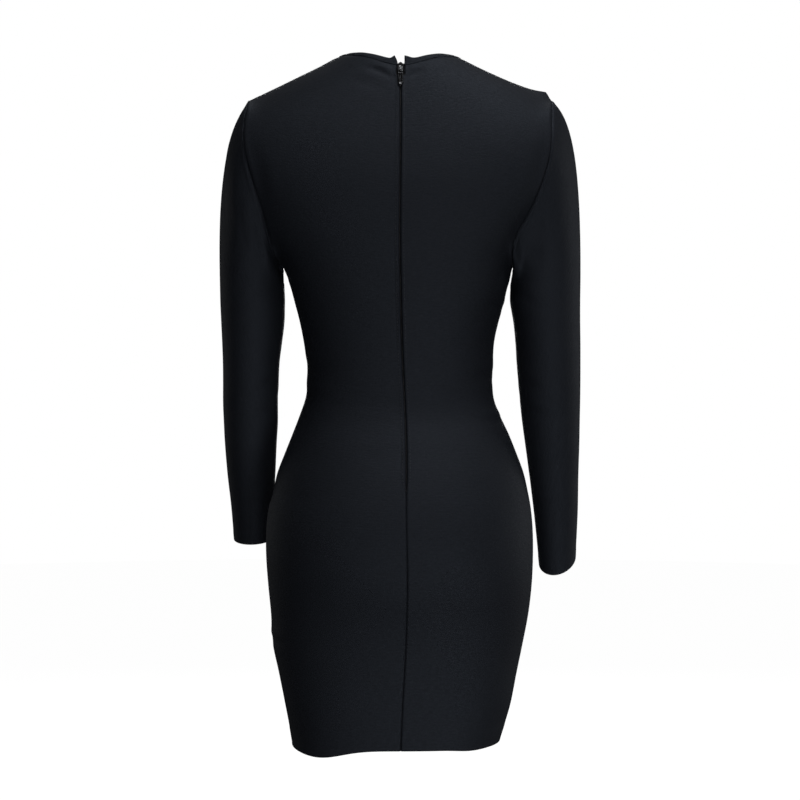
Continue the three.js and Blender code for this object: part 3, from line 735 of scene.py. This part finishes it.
# The front panel
# One piece from side seam to side seam in the same knit, moulded by the stretch of the cloth over the bust
# and bridged flat between. It is plain, as the picture doesn't show it.
FRONT_CREASES = [
    # x, z, lean, length, width, depth
    [150, -246, 46, 30, 8, 1.3],
    [-142, -250, -44, 30, 8, 1.3],
    [128, -300, 32, 28, 8, 0.9],
    [-122, -302, -30, 28, 8, 0.9],
    [112, -420, 10, 30, 8, 0.9],
    [-108, -410, -12, 30, 8, 0.9],
    [40, -438, -5, 40, 11, 0.6],
    [-36, -398, 6, 40, 11, 0.6],
    [70, -590, -10, 50, 13, 0.7],
    [-74, -604, 9, 50, 13, 0.7],
    [168, -150, 78, 36, 7, 0.8],
    [-162, -146, -76, 36, 7, 0.8],
    [0, -250, 0, 34, 16, 0.8],
]
cloth = panel(
    "front",
    lambda v: side_angle("front", -1, v),
    lambda v: side_angle("front", 1, v),
    400,
    FRONT_CREASES,
)
front = dress_up(cloth_wall("dress_front", *cloth), knit, "front")

# The sleeves
# Long tight sleeves of the same knit, set into the armholes with the seam turned in behind the panels, closed
# by one seam under the arm, with a narrow turned cuff. The left one hangs a little further forward.
CUFF_TURN = 14
ARM_RADIUS = 42
CAP_LENGTH = 215
ARM_LENGTH = 335
SLEEVE_MARGIN = 8
ARM_SEAM = (-0.5, 0, 1.4)
CAP_ROLL = (-0.5, 0, 1.2)
CAP_SWELL = (0.55, 3.4, 2.2)
CUFF_STITCH = (-0.14, CUFF_TURN, 1)
CUFF_SWELL = 0.3
ALLOWANCE_THINNER = 0.7
CAP = {"outward": {1: 0.63, -1: 1}, "start": {1: 0.79, -1: 0.56}, "finish": 1.04, "stand_off": 0.4}
SLEEVE_COLUMNS = "outer inner middle depth tilt slant"
SLEEVE_LEFT = table("z " + SLEEVE_COLUMNS, [
    [-285, 224.5, 144.6, -7, 48, 0, 0],
    [-306, 224, 143.9, -6, 47, 0, 0],
    [-330, 223, 144.6, -6, 45.5, 0, 0],
    [-355, 222, 147.7, -7, 44, 0, 0],
    [-380, 221.4, 151, -9, 42, 0.5, 0],
    [-405, 221.5, 152.3, -12, 40, 1, 0],
    [-430, 222, 153.6, -17, 38, 2, 0],
    [-455, 221.6, 154, -23, 36, 3, 0],
    [-480, 221, 155.9, -30, 34, 4, 0],
    [-520, 218.8, 158.3, -41, 31, 5, 0],
    [-560, 215.2, 160.6, -51, 28.5, 5.5, 0],
    [-605, 212.3, 162.5, -62, 26.5, 5.5, -0.8],
])
SLEEVE_RIGHT = table("z " + SLEEVE_COLUMNS, [
    [-285, 222.5, 135.6, -7, 48, 0, 0],
    [-306, 222.2, 135.4, -6, 47, 0, 0],
    [-330, 222.2, 139.4, -5, 45.5, 0, 0],
    [-355, 222.6, 142, -5, 44, 0, 0],
    [-380, 222.8, 143.6, -6, 42, 0.5, 0],
    [-405, 223, 145.8, -8, 40, 1, 0],
    [-430, 223, 148.2, -11, 38, 2.5, 0],
    [-455, 222.9, 151.2, -15, 36, 4, 0],
    [-480, 222.9, 154.8, -19, 34, 6, 0],
    [-520, 222.4, 160.6, -26, 31, 9, 0],
    [-570, 222.4, 167.6, -34, 28, 12, 3],
    [-631, 220.5, 174.5, -42, 25, 15, 5.5],
])


def body_normal(face, angle, v):
    step = 1e-3
    across = body_point(face, angle + step, v) - body_point(face, angle - step, v)
    up = body_point(face, angle, v + step) - body_point(face, angle, v - step)
    normal = np.cross(up, across) if face == "back" else np.cross(across, up)
    flat = QUARTER_TURN - np.abs(angle) < 0.01
    normal[..., 1] = np.where(flat, 0, normal[..., 1])
    return normal / length(normal)[..., None]


def armhole_point(side, turn):
    """Armhole seam point and its normal, for a turn round the sleeve from the shoulder tip down the back."""
    z = TIP_Z + (UNDERARM_Z - TIP_Z) * (1 - np.cos(turn)) / 2
    low = np.full_like(z, V_UNDERARM)
    v = bisect(low, np.full_like(z, V_TIP), lambda middle: row_height["side"](middle) < z)
    behind = (np.sin(turn) >= 0)[..., None]
    at, normal = [], []
    for face in ("back", "front"):
        angle = side_angle(face, side, v)
        at.append(body_point(face, angle, v))
        normal.append(body_normal(face, angle, v))
    return np.where(behind, *at), np.where(behind, *normal)


def cap_start(side, turn):
    """Where a sleeve leaves the armhole seam, in what direction, and the ways away from the panel and out."""
    at, normal = armhole_point(side, turn)
    step = 0.02
    along = armhole_point(side, turn + step)[0] - armhole_point(side, turn - step)[0]
    seam = along / length(along)[..., None]
    away = side * np.cross(seam, normal)
    away /= length(away)[..., None]
    share = (CAP["outward"][side] * (1 + np.cos(turn)) / 2)[..., None]
    down = np.array([0, 0, -1.0]) + seam * seam[..., 2:]
    way = away * share + down * (1 - share)
    under = np.maximum(0, -np.cos(turn))[..., None]
    start = at - away * 2 * LAP * (1 - under) + normal * CAP["stand_off"] * under
    return start, way / length(way)[..., None], away, normal


def arm_point(side, read, turn, z):
    """A point on a sleeve below its cap, on a slanted oval at a height."""
    outer, inner, middle, depth, tilt, slant = (read[name](z) for name in SLEEVE_COLUMNS.split())
    x = (outer + inner) / 2 + (outer - inner) / 2 * np.cos(turn)
    low = z - tilt * np.sin(turn) + slant * np.cos(turn)
    return np.stack([side * x, middle + depth * np.sin(turn), low], -1)


def sleeve_points(side, sizes, turn, t):
    """Points on a sleeve: t runs from 0 at the armhole to 1 at the end of the cap, and to 2 at the cuff."""
    read = {name: curve(sizes, "z", name) for name in SLEEVE_COLUMNS.split()}
    top, bottom = sizes["z"][-1], sizes["z"][0]
    start, way, _, _ = cap_start(side, turn)
    end = arm_point(side, read, turn, np.full_like(turn, top))
    onward = arm_point(side, read, turn, np.full_like(turn, top - 1)) - end
    reach = length(end - start)[..., None]
    s = np.clip(t, 0, 1)[..., None]
    cap = start * (1 + 2 * s) * (1 - s) ** 2 + way * reach * CAP["start"][side] * s * (1 - s) ** 2
    cap = cap + end * s * s * (3 - 2 * s) + onward * reach * CAP["finish"] * s * s * (s - 1)
    arm = arm_point(side, read, turn, top + (bottom - top) * np.maximum(t - 1, 0))
    return np.where((t > 1)[..., None], arm, cap)


ALLOWANCE_LOW = {"narrower": 0.45, "deeper": 2.2}
ARMHOLE_ALLOWANCE = [
    # away from the panel, out of it
    [-7.5, -2.5],
    [-6, -2.4],
    [-4, -2.3],
    [-2.2, -2.2],
    [-1, -2.05],
    [-0.2, -1.8],
    [0.35, -1.3],
    [0.4, -0.7],
]


def armhole_allowance(side, turn):
    """The sleeve's own edge turned in behind the panel, as rows from the raw edge to the seam."""
    start, _, away, normal = cap_start(side, turn)
    low = np.maximum(0, -np.cos(turn))[:, None] ** 4
    widest = -ARMHOLE_ALLOWANCE[0][0]
    rows = []
    for apart, out in ARMHOLE_ALLOWANCE:
        behind = low * max(0.0, -apart) / widest
        sideways = apart * (1 - ALLOWANCE_LOW["narrower"] * behind)
        rows.append(start + away * sideways + normal * (out - ALLOWANCE_LOW["deeper"] * behind))
    return np.stack(rows)


SLEEVE_CREASES = [
    # height, turn from the shoulder down the back, lean, length, width, depth
    [-405, 2.4, 14, 24, 6, 0.7],
    [-424, 3.9, -12, 28, 6, 0.8],
    [-440, 2.2, 10, 24, 6, 0.6],
    [-388, 4.2, -8, 24, 6, 0.6],
    [-300, 2.3, 26, 26, 7, 0.6],
    [-322, 4.0, -20, 28, 7, 0.7],
    [-250, 1.9, 44, 32, 9, 0.6],
    [-262, 4.4, -40, 34, 9, 0.9],
    [-230, 1.6, 52, 30, 8, 0.5],
    [-520, 3.9, 8, 22, 6, 0.5],
    [-556, 2.2, -9, 22, 5, 0.5],
    [-110, 1.2, 60, 26, 6, 0.5],
]


def sleeve(name, side, sizes):
    cap = stations(0, 1, CAP_LENGTH, 3.4, "first")
    levels = np.concatenate([cap, stations(1, 2, ARM_LENGTH, 3.5, "last")[1:]])
    around = np.linspace(math.pi, 3 * math.pi, 85)[:-1] % FULL_TURN
    t, turn = np.meshgrid(levels, around, indexing="ij")
    points = sleeve_points(side, sizes, turn, t)
    points = np.concatenate([armhole_allowance(side, around), points])
    turned_in = len(ARMHOLE_ALLOWANCE)
    turn = np.concatenate([turn[:turned_in], turn])
    low, high = run(points, 0)
    edges = np.minimum(low, high)
    low = low - low[turned_in]
    lift = np.zeros(turn.shape)
    for z, at, lean, long, wide, deep in SLEEVE_CREASES:
        off = (turn - at + math.pi) % FULL_TURN - math.pi
        rolled = np.stack([off * ARM_RADIUS, np.zeros_like(off), points[..., 2]], -1)
        lift += crease(rolled, 0, z, lean, long, wide, deep)
    lift *= np.clip(low / SLEEVE_MARGIN, 0, 1) * np.clip(high / SLEEVE_MARGIN, 0, 1)
    from_seam = np.abs(turn % FULL_TURN - math.pi) * ARM_RADIUS
    lift += (ridge(from_seam, *ARM_SEAM) + ridge(low, *CAP_ROLL)) * (low > 0)
    lift += ridge(low, *CAP_SWELL) + ridge(high, *CUFF_STITCH)
    lift += CUFF_SWELL * ramp(CUFF_TURN - high)
    thick = WALL + TURN_UP * ramp((CUFF_TURN - high) / TURN_UP_FADE) - ALLOWANCE_THINNER * ramp(-low / 0.5)
    made = dress_up(cloth_wall("dress_" + name, points, lift, thick, edges, closed=True), knit, name)


sleeve("sleeve_left", 1, SLEEVE_LEFT)
sleeve("sleeve_right", -1, SLEEVE_RIGHT)

# The neck binding
# A narrow strip of the same knit, folded over the raw neck edge and stitched through. Its two ends turn in at
# the top of the zip and stand up there as small corners.
PEAK = {1: {"rise": 4.2, "wide": 4}, -1: {"rise": 4.6, "wide": 8}}
BINDING_PUCKER = (0.12, 4, 4)
BINDING_STITCH = (-0.28, 1.6, 0.5)
PUCKER_WAVE = 3.1
BINDING_WAVE = {"high": 0.1, "long": 7.3}


def end_angle(side, below):
    v = below_neck("back", 0.0, below)
    return angle_at("back", centre_back(height_of("back", v)) + side * notch[side](below), v)


def neck_binding():
    below = stations(0, BINDING_HEIGHT, BINDING_HEIGHT * 1.6, 1, "both")[::-1]
    below = np.clip(below, 0, BINDING_HEIGHT)
    back_share = stations(0, 1, 86, 1.6, "first")
    front_share = np.linspace(0, 1, 130)
    strips = []
    for face, side in (("back", 1), ("front", 0), ("back", -1)):
        share = front_share if face == "front" else back_share
        depth, across = np.meshgrid(below, share, indexing="ij")
        if face == "front":
            angle = QUARTER_TURN * (1 - 2 * across)
        else:
            angle = end_angle(side, depth) * (1 - across) + side * QUARTER_TURN * across
        points = body_point(face, angle, below_neck(face, angle, depth))
        if face == "back":
            corner = length(points - points[:, :1])
            upper = (1 - depth / BINDING_HEIGHT) ** 2
            points[..., 2] += PEAK[side]["rise"] * bell(corner / PEAK[side]["wide"]) * upper
        strips.append(points[:, ::-1] if side < 0 else points)
    points = np.concatenate([strips[0], strips[1][:, 1:], strips[2][:, 1:]], 1)
    low, _, left, _, edges = to_edges(points)
    lift = ridge(low, *BINDING_PUCKER) * np.sin(left / PUCKER_WAVE)
    lift += BINDING_WAVE["high"] * np.sin(left / BINDING_WAVE["long"] + 1)
    lift += ridge(low, *BINDING_STITCH)
    thick = np.full(edges.shape, WALL + 2 * BINDING_PROUD)
    return points, lift + BINDING_PROUD, thick, edges


binding = dress_up(cloth_wall("dress_neck_binding", *neck_binding()), knit, "neck_binding")

# The stitching beside the zip
# Lockstitch in a slightly lighter polyester thread that holds each tape under the fold of the cloth. The two
# rows run together in a point at the zip's end.
STITCH = {"thread": 0.24, "pitch": 3.3, "step": 0.55, "meet": 15, "top": 12}
STITCH_HEIGHTS = (-0.3, 0.02, 0.12, 0.02, -0.3)


def zip_line(x, below_top, bottom_z, step):
    """Points and normals along the zip, from the bottom up. x is how far they lie to the wearer's left of the
    seam, in millimetres or as a function of the height."""
    top = below_neck("back", 0.0, below_top)
    bottom = V_UNDERARM * (bottom_z - HEM_Z) / (UNDERARM_Z - HEM_Z)
    v = np.linspace(bottom, top, int(-bottom_z / step))
    z = height_of("back", v)
    angle = angle_at("back", centre_back(z) + (x(z) if callable(x) else x), v)
    return body_point("back", angle, v), body_normal("back", angle, v)


def tube(path, thick, sides):
    """A round thread along a line of points, closed at both ends."""
    path = np.asarray(path, float)
    way = np.gradient(path, axis=0)
    way /= length(way)[:, None]
    first = np.cross(way, np.array([0.31, 0.22, 0.92]))
    first /= length(first)[:, None]
    second = np.cross(way, first)
    angle = np.linspace(0, FULL_TURN, sides, endpoint=False)[:, None]
    ring = thick * (first[:, None] * np.cos(angle) + second[:, None] * np.sin(angle))
    return loft(path[:, None] + ring)


def loft(rings):
    """Corners and faces of a skin over rings of points, closed at both ends."""
    count, sides = rings.shape[:2]
    index = np.arange(count * sides).reshape(count, sides)
    onward = np.roll(index, -1, 1)
    faces = np.stack([index[:-1], onward[:-1], onward[1:], index[1:]], -1).reshape(-1, 4).tolist()
    return rings.reshape(-1, 3), faces + [index[0, ::-1].tolist(), index[-1].tolist()]


def joined(parts):
    """Several corner and face lists as one."""
    corners, faces, count = [], [], 0
    for points, polygons in parts:
        corners.append(points)
        faces += [[count + i for i in face] for face in polygons]
        count += len(points)
    return np.concatenate(corners), faces


thread = Finish("thread", Specular_IOR_Level=0.4)
twist = thread.noise(2600.0, 2.0)
thread.feed(
    Base_Color=thread.blend(twist, (0.011, 0.012, 0.015, 1), (0.024, 0.026, 0.033, 1)),
    Roughness=0.42 + 0.2 * twist,
)


def stitch_row(z):
    """How far a row of stitches lies from the seam at a height."""
    return STITCH_APART * np.clip((z - ZIP_END_Z + 1) / STITCH["meet"], 0, 1)


stitches = []
height = np.array(STITCH_HEIGHTS)[:, None]
for side in (1, -1):
    at, normal = zip_line(lambda z: side * stitch_row(z), STITCH["top"], ZIP_END_Z - 1, STITCH["step"])
    at = at + normal * ridge(stitch_row(at[:, 2]), *ZIP_FOLD)[:, None]
    for first in range(0, len(at) - len(height), round(STITCH["pitch"] / STITCH["step"])):
        one = slice(first, first + len(height))
        stitches.append(tube(at[one] + normal[one] * height, STITCH["thread"], 6))
stitching = mesh_object("zip_stitching", *joined(stitches))
stitching.data.materials.append(thread.material)
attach(stitching, "dress")

# The zip's tapes
# Two narrow woven nylon tapes, sewn flat to the inside of the back along the zip, from the neck edge to a
# little below the coils.
TAPE = {"inner": -0.1, "outer": 12.5, "thick": 0.8, "inside": WALL + SEAM_GAP, "tail": 20, "step": 4}
TAPE_TOP = {"below": 4.6, "corner": 2.4, "wide": 1.9}

weave = Finish("zip_tape", Specular_IOR_Level=0.3, Sheen_Weight=0.05)
place = weave.add("TexCoord", result=3)
warp = weave.add("TexWave", {"bands_direction": "X"}, Vector=place, Scale=420.0, Distortion=0.4)
weft = weave.add("TexWave", {"bands_direction": "Z"}, Vector=place, Scale=300.0, Distortion=0.4)
relief = weft * 0.6 + warp * 0.4
# The tape's colour follows the weave's relief: darker where the threads sink, a painted shade in the hollows
# of the weave.
weave.feed(
    Base_Color=weave.blend(relief, (0.004, 0.004, 0.005, 1), (0.014, 0.014, 0.017, 1)),
    Roughness=0.7 + 0.2 * warp,
    Normal=weave.add("Bump", Strength=0.4, Distance=0.0002, Height=relief),
)
for side, name in ((1, "left"), (-1, "right")):
    columns = []
    for x in np.linspace(TAPE["inner"], TAPE["outer"], 9):
        below = TAPE_TOP["below"] - TAPE_TOP["corner"] * bell((x / TAPE_TOP["wide"]) ** 2)
        at, normal = zip_line(side * x, below, ZIP_END_Z - TAPE["tail"], TAPE["step"])
        columns.append(at - normal * TAPE["inside"])
    points = np.stack(columns, 1)
    edges = to_edges(points)[-1]
    thick = np.full(edges.shape, TAPE["thick"])
    made = cloth_wall("zip_tape_" + name + "_cloth", points, np.zeros(edges.shape), thick, edges)
    dress_up(made, weave.material, "zip_tape_" + name, slot="tape")

# The zip's coils
# Two spirals of nylon thread, one sewn to each tape and meshed with the other, all but hidden behind the two
# folds of the cloth.
COIL = {"thread": 0.3, "wide": 1.25, "deep": 0.62, "apart": 0.75, "pitch": 1.5, "inside": 3.4}
COIL_LINE = {"top": 17, "step": 0.16}

nylon = Finish("zip_nylon", Specular_IOR_Level=0.45)
grain = nylon.noise(900.0, 2.0)
nylon.feed(
    Base_Color=nylon.blend(grain, (0.004, 0.004, 0.005, 1), (0.012, 0.012, 0.014, 1)),
    Roughness=0.34 + 0.2 * grain,
)
spirals = []
for side in (1, -1):
    at, normal = zip_line(0, COIL_LINE["top"], ZIP_END_Z, COIL_LINE["step"])
    phase = np.arange(len(at)) * COIL_LINE["step"] / COIL["pitch"] * FULL_TURN + (0 if side > 0 else math.pi)
    across = np.array([1.0, 0, 0]) * (side * (COIL["apart"] + COIL["wide"] * np.cos(phase)))[:, None]
    inward = normal * (COIL["inside"] + COIL["deep"] * np.sin(phase))[:, None]
    spirals.append(tube(at - inward + across, COIL["thread"], 5))
coil = mesh_object("zip_coils", *joined(spirals))
dress_up(coil, nylon.material, "zip_chain", slot="nylon")

# The slider and its pull tab
# A small cast slider in glossy black lacquer, drawn up to the neck with its nose in the notch, and a long
# drop-shaped tab whose bar hangs in the slider's bail.
SLIDER = {"below": 15.2, "thick": 2.8, "proud": 1.2}
SLIDER_RINGS = [
    # up the zip, half width, share of the thickness
    [-5.2, 2.0, 0.7],
    [-5.15, 2.35, 0.88],
    [-4.9, 2.5, 1],
    [-3.5, 2.75, 1],
    [-2, 3.1, 1],
    [0, 3.5, 1],
    [2, 3.45, 1],
    [3.4, 3.2, 1],
    [4.5, 2.7, 0.98],
    [5.4, 2.1, 0.92],
    [6, 1.4, 0.78],
    [6.3, 0.8, 0.58],
    [6.42, 0.25, 0.25],
]
CHEEK = {"high": 0.5, "out": 0.62, "wide": 0.3}
BAIL = {"wide": 2.4, "strip": 0.8, "tunnel": 2, "length": 3.4, "below": 0.2, "bend": 0.75, "foot": 0.6}
TAB = {"wide": 6.9, "tip": 6, "long": 20.6, "thick": 1.2, "lean": 1.8}
TAB_WINDOW = {"wide": 3.4, "long": 3.6, "arm": 0.68, "wire": 0.6}
HOLLOW = {"deep": 0.72, "wide": 0.5, "from_tip": 2.6, "from_top": 1.6, "edge": 0.3}


def zip_frame(below):
    """The slider's place on the zip: across, out from the cloth, and up along the zip."""
    v = below_neck("back", 0.0, below)
    angle = angle_at("back", centre_back(height_of("back", v)), v)
    up = body_point("back", angle, v + 0.01) - body_point("back", angle, v - 0.01)
    up[0] = 0
    up /= length(up)
    across = np.array([1.0, 0, 0])
    return np.stack([across, np.cross(up, across), up]), body_point("back", angle, v)


def oval_ring(half_wide, half_thick, square, count):
    """A rounded rectangle of points in x and y."""
    angle = np.linspace(0, FULL_TURN, count, endpoint=False)
    c, s = np.cos(angle), np.sin(angle)
    x = half_wide * np.sign(c) * np.abs(c) ** (2 / square)
    y = half_thick * np.sign(s) * np.abs(s) ** (2 / square)
    return np.stack([x, y], -1)


def slider_body():
    """A shield with a round nose, two full cheeks and a narrow foot, as rings up the zip."""
    rings = []
    for z, wide, thick in SLIDER_RINGS:
        ring = oval_ring(wide, SLIDER["thick"] / 2 * thick, 3.6, 40)
        cheek = ridge(np.abs(ring[:, 0]), CHEEK["high"] * thick, CHEEK["out"] * wide, CHEEK["wide"] * wide)
        cheek = cheek * (ring[:, 1] > 0)
        out = ring[:, 1] + cheek + SLIDER["proud"] - SLIDER["thick"] / 2
        rings.append(np.stack([ring[:, 0], out, np.full(len(ring), z)], -1))
    return loft(np.array(rings))


def strap(path, half_wide, half_thick):
    """A flat strip of metal bent along a path in y and z, and wide in x."""
    path = np.asarray(path, float)
    way = np.gradient(path, axis=0)
    way /= length(way)[:, None]
    side = np.stack([-way[:, 1], way[:, 0]], -1)
    ring = oval_ring(half_wide, half_thick, 4, 16)
    rings = [
        np.stack([ring[:, 0], point[0] + ring[:, 1] * out[0], point[1] + ring[:, 1] * out[1]], -1)
        for point, out in zip(path, side)
    ]
    return loft(np.array(rings))


def bail():
    """The bent strip on the slider's face that holds the tab's bar."""
    reach = BAIL["length"] / 2 + BAIL["strip"] / 2
    crown = BAIL["tunnel"] + BAIL["strip"] / 2
    bend = BAIL["bend"]
    corner = np.linspace(0, QUARTER_TURN, 6)
    low = [(-BAIL["foot"], reach), (crown - bend, reach)]
    rising = [(crown - bend + bend * math.sin(a), reach - bend + bend * math.cos(a)) for a in corner[1:]]
    falling = [(crown - bend + bend * math.cos(a), -reach + bend - bend * math.sin(a)) for a in corner]
    path = np.array(low + rising + falling + [(-BAIL["foot"], -reach)])
    path[:, 0] += SLIDER["proud"]
    path[:, 1] -= BAIL["below"]
    return strap(path, BAIL["wide"] / 2, BAIL["strip"] / 2)


def placed(parts, axes, origin):
    """Parts whose points are given across, out and up, put in their place on the dress."""
    corners, faces = joined(parts)
    return corners @ axes + origin, faces


lacquer = Finish("zip_lacquer", Specular_IOR_Level=0.6, Coat_Weight=1.0, Coat_Roughness=0.06)
speck = lacquer.noise(600.0, 3.0)
lacquer.feed(
    Base_Color=lacquer.blend(speck, (0.045, 0.047, 0.052, 1), (0.1, 0.103, 0.11, 1)),
    Roughness=0.16 + 0.12 * speck,
    Metallic=1.0,
)
axes, origin = zip_frame(SLIDER["below"])
slider = mesh_object("zip_slider_cast", *placed([slider_body(), bail()], axes, origin))
dress_up(slider, lacquer.material, "zip_slider", slot="lacquer")


def tab_plate():
    """The drop below the window: a rounded rim round a deep hollow, and a round tip."""
    top = -TAB_WINDOW["long"] - 0.35
    bottom = -TAB["long"]
    share = 1 - (1 - np.linspace(0, 1, 44)) ** 1.6
    rings = []
    for place in share:
        z = top + (bottom - top) * place
        straight = TAB["wide"] / 2 + (TAB["tip"] - TAB["wide"]) / 2 * place
        from_tip = z - bottom
        end = min(1.0, from_tip / (TAB["tip"] / 2))
        begin = min(1.0, (top - z) / 0.8 + 0.45)
        half = max(0.12, straight * math.sqrt(max(0, 1 - (1 - end) ** 2)) * (0.8 + 0.2 * begin))
        ring = oval_ring(half, TAB["thick"] / 2 * (0.55 + 0.45 * end), 2.6, 48)
        ends = ramp((from_tip - HOLLOW["from_tip"]) / HOLLOW["edge"])
        ends *= ramp((top - HOLLOW["from_top"] - z) / HOLLOW["edge"])
        dish = HOLLOW["deep"] * np.exp(-((ring[:, 0] / (HOLLOW["wide"] * straight)) ** 6)) * ends
        y = ring[:, 1] - np.where(ring[:, 1] > 0, dish, 0)
        rings.append(np.stack([ring[:, 0], y, np.full(len(ring), z)], -1))
    return loft(np.array(rings))


def tab_stirrup():
    """The bar and its two arms, down to the plate."""
    x = TAB_WINDOW["wide"] / 2 + TAB_WINDOW["arm"]
    half = [(x, 0, -TAB_WINDOW["long"] - 0.9), (x, 0, -2), (x, 0, -0.5), (x - 0.4, 0, -0.1), (x - 1, 0, 0)]
    path = [(-px, py, pz) for px, py, pz in half] + half[::-1]
    return tube(path, TAB_WINDOW["wire"], 12)


tilt = np.array(Matrix.Rotation(math.radians(-TAB["lean"]), 3, "X"))
hinge = np.array(frame["joints"][0]["pos_m"]) / MM
tab = mesh_object("zip_pull_tab_cast", *placed([tab_plate(), tab_stirrup()], tilt.T @ axes, hinge))
dress_up(tab, lacquer.material, "zip_pull_tab", body="pull_tab", slot="lacquer")

# Floor, backdrop and lights
# A pale floor well below the hem and a white dome, which only the camera sees. Soft boxes light the back from
# above, from low down, from the camera's side and along both sides. Two more serve views of the front.
FLOOR_CENTRE = (0, 0, -1.3)
FLOOR_RADIUS = 6
DOME_RADIUS = 12
LIGHT_AIM_Z = -0.42
LIGHT_DISTANCE = 3
LIGHTS = [
    # name, degrees round to the camera's right, degrees up, power, size
    ["key", 45, 65, 27, 1],
    ["top", 0, 65, 12, 1],
    ["low", 30, -30, 14, 1],
    ["low_middle", 0, -30, 11, 1],
    ["fill", -20, 0, 3, 1],
    ["edge_right", 113, 0, 9.5, 1],
    ["edge_left", -125, 0, 3.1, 1],
    ["over", 180, 60, 7.5, 1],
    ["front_key", 180, 14, 52, 1.4],
    ["front_low", 180, -28, 16, 1.4],
]


def lit_white(name, diffuse, glow):
    """A pale surface that glows white on its own, whatever the lights are."""
    paint = Finish(
        name,
        Base_Color=(diffuse, diffuse, diffuse, 1),
        Roughness=0.9,
        Specular_IOR_Level=0.1,
        Emission_Color=(1, 1, 1, 1),
        Emission_Strength=glow,
    )
    return paint.material


def stage_piece(name, material):
    """Makes the newest object part of the studio, seen by the camera alone, so that it lights nothing."""
    made = bpy.context.object
    made.name = name
    made.data.materials.append(material)
    for ray in ("diffuse", "glossy", "shadow"):
        setattr(made, "visible_" + ray, False)


bpy.ops.mesh.primitive_circle_add(vertices=96, radius=FLOOR_RADIUS, fill_type="NGON", location=FLOOR_CENTRE)
stage_piece("floor", lit_white("floor", 0.04, 0.985))
bpy.ops.mesh.primitive_uv_sphere_add(segments=48, ring_count=24, radius=DOME_RADIUS)
stage_piece("dome", lit_white("dome", 0.0, 1.0))


def soft_box(name, turn, rise, power, size):
    """A square light that faces the dress, so many degrees round to the camera's right and so many up."""
    turn, rise = math.radians(turn), math.radians(rise)
    way = Vector((-math.sin(turn) * math.cos(rise), math.cos(turn) * math.cos(rise), math.sin(rise)))
    light = bpy.data.objects.new(name, bpy.data.lights.new(name, "AREA"))
    light.data.shape = "SQUARE"
    light.data.size = size
    light.data.energy = power
    light.visible_camera = False
    light.location = Vector((0, 0, LIGHT_AIM_Z)) + way * LIGHT_DISTANCE
    light.rotation_euler = (-way).to_track_quat("-Z", "Y").to_euler()
    bpy.context.scene.collection.objects.link(light)


for light in LIGHTS:
    soft_box(*light)

world = bpy.data.worlds.new("studio")
world.use_nodes = True
sky = world.node_tree.nodes["Background"].inputs
sky["Color"].default_value = (1, 1, 1, 1)
sky["Strength"].default_value = 0.02
bpy.context.scene.world = world
bpy.context.scene.view_settings.view_transform = "Standard"
